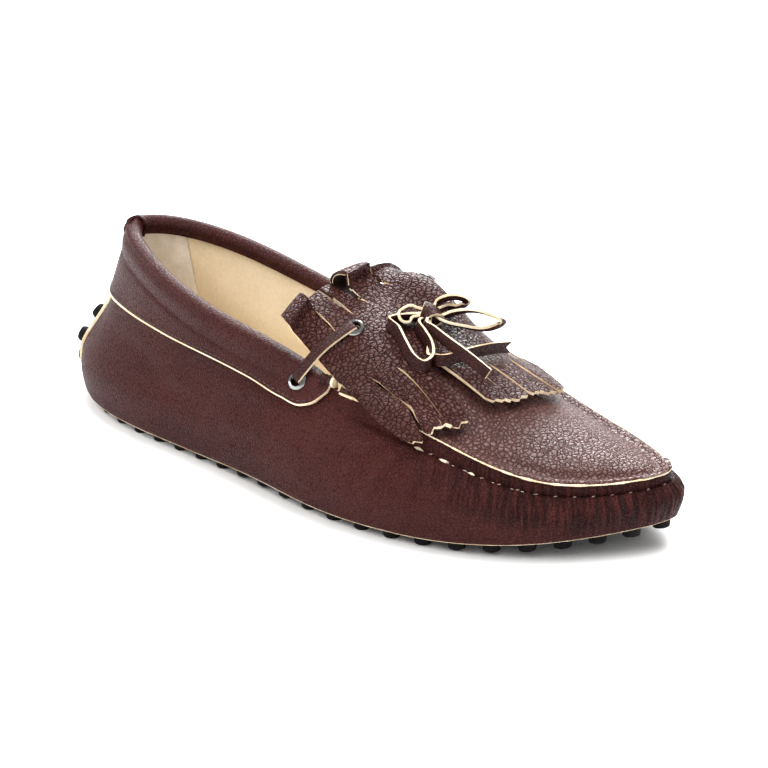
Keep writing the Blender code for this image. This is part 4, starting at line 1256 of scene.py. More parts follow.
    def lining_piece(self) -> None:
        """The lining of wall and apron, and the heel grip over it."""
        depth = self.leather + self.lining_gap
        shares = np.linspace(0, 1, 321)
        rises = np.linspace(0.05, 0.985, 30)
        points, normals = self.last.patch(shares, rises)
        wall = Bench.sheet("lining", (points - normals * depth).transpose(1, 0, 2))
        Bench.merge(wall)
        rungs = np.r_[np.linspace(THROAT, 0.492, 90), 0.5]
        across = np.linspace(0, 1, 31)
        cap = self.last.rungs(rungs, across)
        cap[..., 2] -= depth
        under = Bench.sheet("lining_apron", cap)
        Bench.merge(under)
        obj = Bench.join("lining", [wall, under])
        Bench.thicken(obj, self.lining, inner=0, rim=0)
        Bench.smooth(obj, 60)
        Bench.finish(obj, [self.finishes.lining], Slot.LINING)
        shares = np.linspace(-0.082, 0.082, 60)
        rises = np.linspace(0.22, 0.965, 26)
        points, normals = self.last.patch(shares, rises)
        inside = points - normals * (depth + self.lining + self.grip_gap)
        grip = Bench.sheet("heel_grip", inside.transpose(1, 0, 2))
        Bench.apply(grip, "SOLIDIFY", thickness=self.grip, offset=-1.0)
        Bench.soften(grip, 0.0002)
        Bench.smooth(grip)
        Bench.finish(grip, [self.finishes.grip], Slot.LINING)


@dataclass
class Sole:
    """The rubber plate with its studs, and the insole."""

    last: Last
    finishes: Finishes
    stud_radius: float = 0.0038
    taper: float = 0.86
    stud_edge: float = 0.0076
    stud_pitch: float = 0.0126
    inner_pitch: float = 0.0165
    plate: float = 0.0022
    insole: float = 0.0020
    plate_inset: float = 0.0021
    insole_inset: float = 0.0043
    insole_gap: float = 0.0003
    cup: float = 0.0006
    row_inset: float = 0.0118
    row_pitch: float = 0.0135
    row_gap: float = 0.0130
    stud_clear: float = 0.0112
    heel_clear: float = 0.024

    def build(self) -> None:
        """Makes plate, studs and insole."""
        self.plate_piece()
        self.studs()
        self.insole_piece()

    def layer(self, inset: float, lift: float, cup: float) -> Array:
        """A layer over the sole's outline, across by along, with its edge turned up by cup."""
        shares = 0.25 - 0.25 * np.cos(np.linspace(0, math.pi, 121))
        left, out_left = self.last.edge(shares)
        right, out_right = self.last.edge(1 - shares)
        left, right = left - out_left * inset, right - out_right * inset
        w = np.linspace(0, 1, 25)[:, None, None]
        plan = left[None] * (1 - w) + right[None] * w
        rise = self.last.sole_height(plan[..., 0]) + lift
        rise += cup * np.abs(2 * w[..., 0] - 1) ** 4
        return np.concatenate([plan, rise[..., None]], axis=2)

    def plate_piece(self) -> None:
        """The plate inside the turned-under edge."""
        inset = self.last.turn_under + self.plate_inset
        obj = Bench.sheet("sole_plate", self.layer(inset, self.plate, 0.0))
        Bench.merge(obj)
        Bench.apply(obj, "SOLIDIFY", thickness=self.plate - 0.0001, offset=-1.0)
        Bench.smooth(obj)
        Bench.finish(obj, [self.finishes.rubber], Slot.RUBBER, ("outsole",))

    def insole_piece(self) -> None:
        """The insole, slightly cupped."""
        top = self.plate + self.insole_gap + self.insole
        obj = Bench.sheet("insole_sock", self.layer(self.insole_inset, top, self.cup))
        Bench.merge(obj)
        Bench.apply(obj, "SOLIDIFY", thickness=self.insole, offset=-1.0)
        Bench.soften(obj, 0.0004)
        Bench.smooth(obj)
        Bench.finish(obj, [self.finishes.lining], Slot.LINING, ("insole",))

    def stud_places(self) -> list[Array]:
        """Plan points of the studs, as in the frame: rows along the edge, then further in."""
        places: list[Array] = []
        second = self.stud_edge + self.row_inset
        rows = [(self.stud_edge, self.stud_pitch, 0.1), (second, self.row_pitch, 0.0)]
        rows += [(second + k * self.row_gap, self.inner_pitch, 0.5 * (k % 2)) for k in (1, 2, 3)]
        for inset, pitch, phase in rows:
            plan, outward = self.last.edge(np.linspace(0, 1, 721)[:-1])
            ring = plan - outward * inset
            ring = np.vstack([ring, ring[:1]])
            run = run_along(ring)
            count = round(run[-1] / pitch)
            for k in range(count):
                at = (k + phase) * run[-1] / count
                place = np.array([np.interp(at, run, ring[:, c]) for c in (0, 1)])
                edge = np.min(np.linalg.norm(self.last.line - place, axis=1))
                clear = all(np.linalg.norm(place - other) > self.stud_clear for other in places)
                if edge > inset - 0.0005 and clear and place[0] > self.heel_clear:
                    places.append(place)
        return places

    def studs(self) -> None:
        """All the studs under the sole."""
        foot = self.stud_radius * self.taper
        deep = -self.last.stud_height
        profile = [
            (foot * 0.55, deep + 0.00025),
            (foot * 0.72, deep),
            (foot - 0.0006, deep),
            (foot - 0.00018, deep + 0.00018),
            (foot, deep + 0.0006),
            (self.stud_radius * 0.955, -0.0016),
            (self.stud_radius, -0.0002),
            (self.stud_radius, 0.0012),
        ]
        model = Bench.turned("stud", profile, 20)
        Bench.close_ends(model, 0)
        places = []
        for x, y in self.stud_places():
            reach = 0.001
            slope = float(self.last.sole_height(x + reach) - self.last.sole_height(x - reach)) / (2 * reach)
            tilt = math.atan(slope)
            down = self.last.stud_height * math.cos(tilt) + foot * abs(math.sin(tilt))
            base = max(float(self.last.sole_height(x)), down)
            along = np.array((math.cos(tilt), 0, math.sin(tilt)))
            normal = np.array((-math.sin(tilt), 0, math.cos(tilt)))
            places.append(Bench.place(np.array((x, y, base)), along, normal))
        obj = Bench.copies("sole_studs", model, places)
        Bench.smooth(obj, 50)
        Bench.finish(obj, [self.finishes.rubber], Slot.RUBBER)


@dataclass
class HeelPatch:
    """The tab up the heel back with its own studs and stitches."""

    last: Last
    finishes: Finishes
    low: float = 0.075
    high: float = 0.62
    half: float = 1.85
    top_half: float = 1.12
    thick: float = 0.0015
    studs: Table = (
        (0.17, -0.95), (0.17, 0.0), (0.17, 0.95), (0.32, -0.95),
        (0.32, 0.0), (0.32, 0.95), (0.47, -0.5), (0.47, 0.5),
    )

    def half_at(self, rise: Array) -> Array:
        """Half the tab's width, in columns."""
        share = (rise - self.low) / (self.high - self.low)
        shoulder = np.sqrt(np.maximum(0, 1 - np.maximum(0, (share - 0.72) / 0.285) ** 2.5))
        side = self.half * (1 - 0.22 * share) * shoulder
        return np.maximum(side, self.top_half * (1 - 0.35 * smooth_step(share, 0.93, 1)))

    def build(self) -> None:
        """Makes the tab, its studs and its stitches."""
        straight = np.linspace(self.low, self.high - 0.06, 40)
        rises = np.r_[straight, np.linspace(self.high - 0.055, self.high, 10)]
        w = np.linspace(-1, 1, 27)
        rows = []
        for rise in rises:
            shares = w * self.half_at(rise) / COLUMNS
            points, normals = self.last.surface(shares, np.full((len(w), 1), rise))
            rows.append(points[:, 0] + normals[:, 0] * (0.0003 + self.thick))
        obj = Bench.sheet("heel_tab", np.array(rows))
        Bench.thicken(obj, self.thick)
        Bench.soften(obj, 0.00025)
        Bench.smooth(obj)
        Bench.finish(obj, [self.finishes.band, self.finishes.raw_edge], Slot.RUBBER, ("heel_patch",))
        self.stud_piece()
        self.stitches()

    def stud_piece(self) -> None:
        """The studs on the tab."""
        profile = [
            (0.0036, 0.0), (0.0036, 0.0022), (0.0032, 0.0034), (0.0029, 0.0038),
            (0.0024, 0.0038), (0.0019, 0.0036),
        ]
        model = Bench.turned("tab_stud", profile, 20)
        Bench.close_ends(model, 0)
        places = []
        for rise, column in self.studs:
            point, normal = self.last.at(column, rise)
            places.append(Bench.place(point + normal * 0.0009, UP, normal))
        obj = Bench.copies("tab_studs", model, places)
        Bench.smooth(obj, 50)
        Bench.finish(obj, [self.finishes.rubber], Slot.RUBBER)

    def stitches(self) -> None:
        """Dark thread down both sides of the tab, on the wall beside it."""
        places = []
        for side in (-1, 1):
            for rise in np.arange(self.low + 0.01, self.high - 0.02, 0.0205):
                column = side * (float(self.half_at(np.array(rise))) + 0.10)
                point, normal = self.last.at(column, rise)
                above, _ = self.last.at(column, rise + 0.02)
                places.append(Bench.place(point + normal * 0.0002, above - point, normal))
        Upper.stitch_row("tab_stitches", places, 0.0008, 0.00032, self.finishes.thread, Slot.BAND)


@dataclass
class CollarBand:
    """The padded band folded over the topline."""

    last: Last
    finishes: Finishes
    lacing: "Lacing"
    clear: float = 0.0005
    thick: float = 0.0015
    wall: float = 0.0018
    flap_clear: float = 0.0009
    roll: float = 0.0030
    end: float = 17.6
    pale_edge: float = 0.035
    calm_reach: int = 18
    dyed_reach: float = 0.0030
    tape_at: Triple = (0.1602, -0.0352, 0.0500)
    tape_way: Triple = (1.0, 0.12, -0.05)
    tape_wrapped: float = 0.0050
    low: Table = (
        (0.0, 0.70), (5.0, 0.735), (9.0, 0.775), (12.0, 0.80), (14.0, 0.79),
        (15.8, 0.77), (16.8, 0.79), (17.3, 0.86), (17.6, 0.955),
    )

    def low_at(self, columns: Array) -> Array:
        """The rise of the band's lower edge."""
        table = np.array(self.low)
        return hermite(table[:, 0], table[:, 1:], np.abs(columns))[:, 0]

    def outer(self, columns: Array, shares_up: Array) -> Pair:
        """Points of the outer flap and their normals, at shares from the low edge to the topline."""
        low = self.low_at(columns)[:, None]
        rises = low + (1 - low) * shares_up[None]
        points, normals = self.last.surface(columns / COLUMNS, rises)
        below = np.linalg.norm(points - points[:, -1:], axis=2)
        ends = smooth_step(np.abs(columns), self.end - 0.2, self.end - 2.4)[:, None]
        pad = 0.0009 * bump(below, 0.0030, 0.0034)
        groove = 0.00045 * bump(below, 0.0084, 0.0008)
        lift = self.clear + self.thick + (pad - groove) * ends
        drift = 0.00018 * soft_noise(points, 0.012, 9.3) * smooth_step(below, 0.006, 0.010)
        return points + normals * (lift + drift)[..., None], normals

    def build(self) -> None:
        """Makes the band and its stitches."""
        inner = np.linspace(0, self.end - 1.2, 150)
        half = np.r_[inner, np.linspace(self.end - 1.14, self.end, 26)]
        columns = np.r_[-half[:0:-1], half]
        flap, normals = self.outer(columns, np.r_[0, self.pale_edge, np.linspace(0.07, 1, 25)])
        top, _ = self.last.surface(columns / COLUMNS, np.ones((len(columns), 1)))
        under, _ = self.last.surface(columns / COLUMNS, np.full((len(columns), 1), 0.92))
        climb = unit(top - under)[:, 0]
        normal, top = normals[:, -1], top[:, 0]
        calm = self.calmed(normal)
        reach = self.wall + self.flap_clear
        middle, radius = (self.clear - reach) / 2, (self.clear + reach) / 2 + self.thick
        ends = smooth_step(np.abs(columns), self.end - 1.4, self.end)
        roll = (self.roll * (1 - 0.25 * ends) + 0.0004)[:, None]
        rows = list(flap.transpose(1, 0, 2))
        for angle in np.radians(np.linspace(14, 166, 11)):
            puff = 0.0007 * math.cos(angle) ** 2 * (1 if angle < math.pi / 2 else 0.5)
            out = middle + (radius + puff) * math.cos(angle)
            aside = normal if angle < math.pi / 2 else calm
            rows.append(top + aside * out + climb * roll * math.sin(angle))
        for rise in np.linspace(1.0, 0.962, 4):
            points, inward = self.last.surface(columns / COLUMNS, np.full((len(columns), 1), rise))
            rows.append(points[:, 0] - self.calmed(inward[:, 0]) * (reach + self.thick))
        obj = Bench.sheet("collar", np.array(rows))
        Bench.mark_rows(obj, len(columns) - 1)
        Bench.thicken(obj, self.thick - 0.0001)
        self.dye_inner_rim(obj, rows[-1])
        self.lacing.holes(obj, True)
        Bench.soften(obj, 0.00022)
        Bench.smooth(obj)
        Bench.finish(obj, [self.finishes.band, self.finishes.raw_edge], Slot.BAND, ("collar_band",))
        self.stitches()
        self.tape_end()

    def calmed(self, normals: Array) -> Array:
        """Normals turned evenly round the heel, so that the inner side of the roll stays open."""
        reach = self.calm_reach
        padded = np.pad(normals, ((reach, reach), (0, 0)), mode="edge")
        windows = [padded[k : k + len(normals)] for k in range(2 * reach + 1)]
        return unit(np.mean(windows, axis=0))

    def tape_end(self) -> None:
        """The drawn tape's end, wrapped with thread, in front of the band."""
        profile = [(0.0010, 0.0), (0.0019, 0.0004)]
        profile += [(0.0023 - 0.0005 * (k % 2), 0.0009 + 0.0007 * k) for k in range(6)]
        profile += [(0.0018, 0.0052), (0.0021, 0.0058), (0.0022, 0.0064), (0.0012, 0.0066)]
        tape = Bench.turned("tape_end", profile, 22)
        for _ in range(2):
            tape.data.materials.append(None)
        for face in tape.data.polygons:
            face.material_index = int(face.center.z > self.tape_wrapped)
        tape.data.transform(Bench.place(np.array(self.tape_at), UP, np.array(self.tape_way)))
        Bench.smooth(tape)
        Bench.finish(tape, [self.finishes.lace, self.finishes.raw_edge], Slot.BAND)

    def dye_inner_rim(self, obj: Piece, edge: Array) -> None:
        """Dyes the cut edge inside the shoe as the band is."""
        line = edge[::4] + TO_FRAME
        for face in obj.data.polygons:
            if face.material_index == 1:
                reach = np.min(np.linalg.norm(line - np.array(face.center), axis=1))
                if reach < self.dyed_reach:
                    face.material_index = 0

    def stitches(self) -> None:
        """A row of dark thread just above the low edge."""
        columns = np.linspace(-self.end + 0.55, self.end - 0.55, 900)
        flap, normals = self.outer(columns, np.array([0.0, 0.02, 0.12, 0.2, 1.0]))
        low, up = flap[:, 0], unit(flap[:, 2] - flap[:, 0])
        line = low + up * 0.0017
        run = run_along(line)
        places = []
        for at in np.arange(0.0012, run[-1] - 0.001, 0.0026):
            k = min(int(np.searchsorted(run, at)), len(line) - 2)
            normal = normals[k, 1]
            places.append(Bench.place(line[k] + normal * 0.00002, line[k + 1] - line[k], normal))
        Upper.stitch_row("collar_stitches", places, 0.0009, 0.00030, self.finishes.thread, Slot.BAND)


class Drape:
    """The height of what lies under the kiltie: the apron, its seam, the wall and the tongue behind."""

    step = 0.001
    tongue_back = 0.1350
    tongue_edge = 0.0580
    tongue_half = 0.0330
    crown_back = 0.0130
    crown_throat = 0.0175

    def __init__(self, upper: Upper) -> None:
        """Reads the heights over a plan grid."""
        last = upper.last
        shares = np.r_[np.arange(THROAT, 0.5, 1 / 420), 0.5]
        across = np.linspace(0, 1, 49)
        apron, _ = upper.apron_points(shares, across)
        tongue = self.tongue(apron[:, 0], across)
        round_it = np.arange(0.2, 0.81, 1 / 420)
        wall = last.wall(round_it, np.tile(np.linspace(0.4, 1, 20), (len(round_it), 1)))
        wall[:, -1] += upper.seam_lift(round_it)
        points, faces = [], []
        for grid in (apron, tongue, wall):
            rows, columns = grid.shape[:2]
            start = len(points)
            points += [tuple(p) for p in grid.reshape(-1, 3)]
            for r in range(rows - 1):
                for c in range(columns - 1):
                    a = start + r * columns + c
                    faces.append((a, a + 1, a + columns + 1, a + columns))
        tree = BVHTree.FromPolygons(points, faces)
        self.low = np.array((0.118, -0.058))
        count = (140, 118)
        heights = np.zeros(count)
        for i in range(count[0]):
            for j in range(count[1]):
                x, y = self.low + self.step * np.array((i, j))
                hit = tree.ray_cast(Vector((x, y, 0.2)), Vector((0, 0, -1)))[0]
                if hit is None:
                    hit = tree.find_nearest(Vector((x, y, 0.05)))[0]
                heights[i, j] = hit[2]
        for _ in range(2):
            padded = np.pad(heights, 1, mode="edge")
            around = padded[:-2, 1:-1] + padded[2:, 1:-1] + padded[1:-1, :-2] + padded[1:-1, 2:]
            heights = (around + 2 * heights) / 6
        self.heights = heights

    def tongue(self, rung: Array, across: Array) -> Array:
        """The surface carried on from the throat to the tongue's back edge."""
        left, right = rung[0], rung[-1]
        rows = []
        for share in np.linspace(1.2, 0, 25):
            x = rung[:, 0] + (self.tongue_back - rung[:, 0]) * share
            low = (1 - share) * (left[2] + (right[2] - left[2]) * across) + share * self.tongue_edge
            wide = (1 - share) * rung[:, 1] + share * (2 * across - 1) * self.tongue_half
            crown = (1 - share) * self.crown_throat + share * self.crown_back
            rise = crown * (1 - np.abs(2 * across - 1) ** CROWN_POWER)
            rows.append(np.stack([x, wide, low + rise], axis=1))
        return np.array(rows)

    def height(self, x: Array, y: Array) -> Array:
        """Heights at plan places."""
        u = np.clip((x - self.low[0]) / self.step, 0, self.heights.shape[0] - 1.001)
        v = np.clip((y - self.low[1]) / self.step, 0, self.heights.shape[1] - 1.001)
        i, j = u.astype(int), v.astype(int)
        s, t = u - i, v - j
        near = self.heights[i, j] * (1 - t) + self.heights[i, j + 1] * t
        far = self.heights[i + 1, j] * (1 - t) + self.heights[i + 1, j + 1] * t
        return near * (1 - s) + far * s

    def lifted(self, x: Array, y: Array, lift: Array) -> Array:
        """Points above plan places, along the surface's normal."""
        x, y = np.asarray(x, float), np.asarray(y, float)
        flat = np.stack([x, y, self.height(x, y)], axis=-1)
        return flat + self.normal(x, y) * np.asarray(lift)[..., None]

    def normal(self, x: Array, y: Array) -> Array:
        """Upward normals at plan places, over a few millimetres."""
        reach = 0.0025
        x, y = np.asarray(x, float), np.asarray(y, float)
        dx = (self.height(x + reach, y) - self.height(x - reach, y)) / (2 * reach)
        dy = (self.height(x, y + reach) - self.height(x, y - reach)) / (2 * reach)
        return unit(np.stack([-dx, -dy, np.ones_like(dx)], axis=-1))


@dataclass
class Kiltie:
    """The folded, fringed leather over the instep."""

    last: Last
    drape: Drape
    finishes: Finishes
    thick: float = 0.0014
    tongue_lift: float = 0.0014
    lift: float = 0.0034
    slit: float = 0.0010
    narrow: float = 0.86
    # Across at the fold, at the throat, half way and at the end, in shares of the ball's width; then the
    # end and the root of the slit along, in shares of the length
    fringe: Table = (
        (-0.287, -0.322, -0.364, -0.376, 0.7123, 0.0),
        (-0.218, -0.259, -0.295, -0.341, 0.7316, 0.6316),
        (-0.153, -0.193, -0.221, -0.271, 0.7509, 0.6491),
        (-0.104, -0.134, -0.149, -0.196, 0.7596, 0.6596),
        (-0.050, -0.035, -0.022, -0.030, 0.7807, 0.7123),
        (0.005, 0.025, 0.045, 0.054, 0.7842, 0.7193),
        (0.064, 0.089, 0.114, 0.124, 0.7895, 0.7228),
        (0.109, 0.139, 0.173, 0.198, 0.7937, 0.7193),
        (0.149, 0.178, 0.226, 0.261, 0.7860, 0.7018),
        (0.186, 0.220, 0.277, 0.307, 0.7649, 0.6772),
        (0.223, 0.295, 0.325, 0.351, 0.7298, 0.0),
    )
    gap: tuple[int, float, float] = (3, -0.109, -0.111)
    fold_slits: tuple[int, ...] = (3, 6, 8, 12)
    fold_radii: tuple[float, ...] = (0.0048, 0.0014, 0.0014, 0.0050, 0.0036)
    fold_back: tuple[float, ...] = (0.4737, 0.4825, 0.4825, 0.4825, 0.4912)
    fold_long: float = 1.15
    fold_lean: float = 0.5
    fold_fade: float = 0.063
    knots: tuple[float, ...] = (0.4632, 0.4912, 0.5789)
    half_way_on: float = 0.0105
    merged_from: float = 0.5544
    under: tuple[float, float] = (0.6018, 0.5456)
    under_rows: int = 5
    fold_rows: int = 15
    forward_rows: int = 76
    swell_rise: float = 0.0150
    swell_at: tuple[float, float] = (0.5825, 0.188)
    swell_reach: tuple[float, float] = (0.070, 0.119)
    # How far each strip lies off the apron at its end, from the lateral side
    leans: tuple[float, ...] = (
        *(0.0002, 0.0007, -0.0002, 0.0006, 0.0001),
        *(0.0006, -0.0001, 0.0006, 0.0002, 0.0005),
    )

    def swell(self, x: Array, y: Array) -> Array:
        """How far it stands off over the high medial side of the instep."""
        along = (np.asarray(x) / self.last.length - self.swell_at[0]) / self.swell_reach[0]
        across = (np.asarray(y) / self.last.ball_width - self.swell_at[1]) / self.swell_reach[1]
        return self.swell_rise * np.exp(-(along**2) - across**2)

    def top(self, x: float, y: float, lift: float = 0.0) -> Pair:
        """A point above its top face, and the normal there."""
        normal, step = self.drape.normal(x, y), 0.001
        slope_x = (self.swell(x + step, y) - self.swell(x - step, y)) / (2 * step)
        slope_y = (self.swell(x, y + step) - self.swell(x, y - step)) / (2 * step)
        tilted = unit(normal - np.array((slope_x, slope_y, 0.0)) * normal[2])
        point = self.drape.lifted(x, y, self.lift + self.thick / 2) + UP * self.swell(x, y)
        return point + tilted * lift, tilted

    def line(self, index: int, right_side: bool) -> tuple[Array, float, float]:
        """One boundary between strips: its places across, its end and the root of its slit, in metres."""
        row = self.fringe[index]
        places = np.array(row[:4])
        if index == self.gap[0] and right_side:
            places[2:] = self.gap[1:]
        return places * self.last.ball_width, row[4] * self.last.length, row[5] * self.last.length

    def across(self, places: Array, x: Array, end: float) -> Array:
        """A boundary's place across, at places along."""
        length = self.last.length
        back, fold, throat = (length * knot for knot in self.knots)
        half = (throat + end) / 2 + self.half_way_on * length
        knots = np.array((back, fold, throat, half, end))
        return hermite(knots, np.r_[places[0], places][:, None], x)[:, 0]

    def block(self, start: float, stop: float) -> Array:
        """The grid of points between two splitting lines, counted in half strips.

        Args:
            start: the block's lateral line.
            stop: its medial line.

        Returns:
            Across by along by 3.
        """
        strip = int(start // 2)
        group = sum(start >= cut for cut in self.fold_slits)
        radius, back = self.fold_radii[group], self.fold_back[group] * self.last.length
        merged = self.merged_from * self.last.length
        left, left_end, left_root = self.line(strip, True)
        right, right_end, right_root = self.line(strip + 1, False)
        shared, _, _ = self.line(strip, False)
        shares = np.linspace(start / 2 - strip, stop / 2 - strip, 7 if stop - start == 1 else 13)
        x, lift, narrow = self.stations(radius, back)
        rows = []
        for s in shares:
            end = left_end * (1 - s) + right_end * s + self.tooth(strip, s)
            fold = self.fold_rows + self.under_rows
            ahead = np.linspace(0, 1, self.forward_rows)[1:]
            first = x[fold - 1]
            forward = first + (end - first) * ahead
            every = np.r_[x[:fold], forward]
            blend = smooth_step(every, left_root, left_root + 0.006) if left_root else 0.0
            edge = self.across(shared, every, end) * (1 - blend) + self.across(left, every, end) * blend
            y = edge * (1 - s) + self.across(right, every, end) * s
            open_left = smooth_step(every, left_root, left_root + 0.004) if left_root else 0.0
            open_right = smooth_step(every, right_root, right_root + 0.004) if right_root else 0.0
            tight = np.r_[narrow[:fold], np.ones(len(forward))]
            y = y * tight + self.slit / 2 * (open_left * (1 - s) ** 6 - open_right * s**6)
            fold_open = (every < merged) * smooth_step(merged - every, 0, 0.006)
            if start in self.fold_slits and s == shares[0]:
                y = y + fold_open * self.slit / 2
            if stop in self.fold_slits and s == shares[-1]:
                y = y - fold_open * self.slit / 2
            top = self.tongue_lift + 2 * radius
            fade = smooth_step(forward, back, back + self.fold_fade * self.last.length)
            high = top + (self.lift - top) * fade
            height = np.r_[lift[:fold], high]
            free = smooth_step(every, max(left_root, right_root, 0.18) - 0.004, end)
            height = height + free * self.curl(strip, s)
            turning = np.linspace(0, 1, self.fold_rows)
            above = np.r_[np.zeros(self.under_rows), turning, np.ones(len(forward))]
            point = self.drape.lifted(every, y, height)
            point[:, 2] += above * self.swell(every, y)
            rows.append(point)
        return np.array(rows)

    def stations(self, radius: float, back: float) -> tuple[Array, Array, Array]:
        """Places along, lifts and narrowing of the tongue below and the fold behind."""
        under = np.linspace(*self.under, self.under_rows) * self.last.length
        angle = np.linspace(0, math.pi, self.fold_rows)
        share = np.linspace(0, 1, self.fold_rows)
        x = back + radius * self.fold_long * (1 - np.sin(angle)) + self.fold_lean * radius * share
        lift = self.tongue_lift + radius * (1 - np.cos(angle))
        narrow = self.narrow + (1 - self.narrow) * share
        return (
            np.r_[under, x],
            np.r_[np.full(self.under_rows, self.tongue_lift), lift],
            np.r_[np.full(self.under_rows, self.narrow), narrow],
        )

    @staticmethod
    def tooth(strip: int, s: float) -> float:
        """How far the pinked end stands out, with a notch at each slit."""
        teeth = 3 if strip % 2 else 2
        saw = abs(((s * teeth) % 1.0) - 0.5) * 2
        return 0.0010 * (1 - saw) + 0.0012 * (1 - abs(2 * s - 1) ** 6) - 0.0004

    def curl(self, strip: int, s: float) -> float:
        """How the strips lift off the apron towards their ends."""
        return self.leans[strip] + 0.0004 * (1 - (2 * s - 1) ** 2) + 0.0003 * s

    def build(self, lacing: "Lacing") -> None:
        """Makes the kiltie as one leather piece, with its eyelets' holes."""
        cuts = sorted({2 * k for k in range(len(self.fringe))} | set(self.fold_slits))
        blocks = []
        for start, stop in zip(cuts, cuts[1:]):
            blocks.append(Bench.sheet("kiltie_block", self.block(start, stop)))
        obj = Bench.join("kiltie_leather", blocks)
        Bench.merge(obj, 0.00003)
        self.top_outwards(obj)
        Bench.apply(
            obj,
            "SOLIDIFY",
            thickness=self.thick,
            offset=0.0,
            use_rim=True,
            material_offset=2,
            material_offset_rim=1,
        )
        lacing.holes(obj, False)
        Bench.soften(obj, 0.00028, material=1)
        Bench.smooth(obj)
        materials = [self.finishes.kiltie, self.finishes.raw_edge, self.finishes.flesh]
        Bench.finish(obj, materials, Slot.KILTIE, ("kiltie",))

    @staticmethod
    def top_outwards(obj: Piece) -> None:
        """Turns the sheet's faces so that the fringe's face is up."""
        work = bmesh.new()
        work.from_mesh(obj.data)
        far = max(work.faces, key=lambda face: face.calc_center_median().x)
        if far.normal.z < 0:
            bmesh.ops.reverse_faces(work, faces=work.faces)
        work.to_mesh(obj.data)
        work.free()


@dataclass(frozen=True)
class Ribbon:
    """One run of lace in the bow.

    Attributes:
        places: points along and across from the heel, and up from the floor.
        across: the direction across the lace.
    """

    places: tuple[Triple, ...]
    across: Triple


NEAR_LOOP = Ribbon(
    (
        (0.1729, -0.0100, 0.0685), (0.1781, -0.0124, 0.0664), (0.1844, -0.0162, 0.0635),
        (0.1903, -0.0190, 0.0604), (0.1954, -0.0190, 0.0589), (0.1961, -0.0152, 0.0607),
        (0.1922, -0.0108, 0.0635), (0.1861, -0.0070, 0.0656), (0.1811, -0.0036, 0.0670),
    ),
    (0.15, 0.25, 1.0),
)
BACK_LOOP = Ribbon(
    (
        (0.1770, 0.0004, 0.0721), (0.1751, -0.0020, 0.0727), (0.1736, -0.0050, 0.0708),
        (0.1756, -0.0068, 0.0686), (0.1776, -0.0052, 0.0678), (0.1781, -0.0022, 0.0691),
    ),
    (0.5, -0.75, 0.35),
)
HIGH_LOOP = Ribbon(
    (
        (0.1807, 0.0080, 0.0721), (0.1844, 0.0092, 0.0750), (0.1886, 0.0110, 0.0758),
        (0.1915, 0.0128, 0.0744), (0.1877, 0.0125, 0.0712), (0.1836, 0.0105, 0.0708),
    ),
    (0.5, -0.6, 0.7),
)
FAR_LOOP = Ribbon(
    (
        (0.1860, 0.0060, 0.0691), (0.1900, 0.0075, 0.0711), (0.1966, 0.0090, 0.0729),
        (0.2025, 0.0110, 0.0723), (0.2075, 0.0130, 0.0698), (0.2015, 0.0115, 0.0660),
        (0.1939, 0.0080, 0.0662), (0.1879, 0.0048, 0.0674),
    ),
    (0.1, -0.9, 0.5),
)
FRONT_END = Ribbon(
    (
        (0.1847, -0.0034, 0.0674), (0.1893, -0.0052, 0.0671), (0.1975, -0.0082, 0.0660),
        (0.2064, -0.0104, 0.0642), (0.2172, -0.0090, 0.0583),
    ),
    (0.0, 0.2, 1.0),
)
SWALLOW_END = Ribbon(
    (
        (0.1982, -0.0138, 0.0604), (0.2008, -0.0118, 0.0606), (0.2023, -0.0058, 0.0606),
        (0.2036, 0.0012, 0.0604), (0.2056, 0.0100, 0.0597), (0.2069, 0.0180, 0.0582),
    ),
    (0.0, 0.2, 1.0),
)


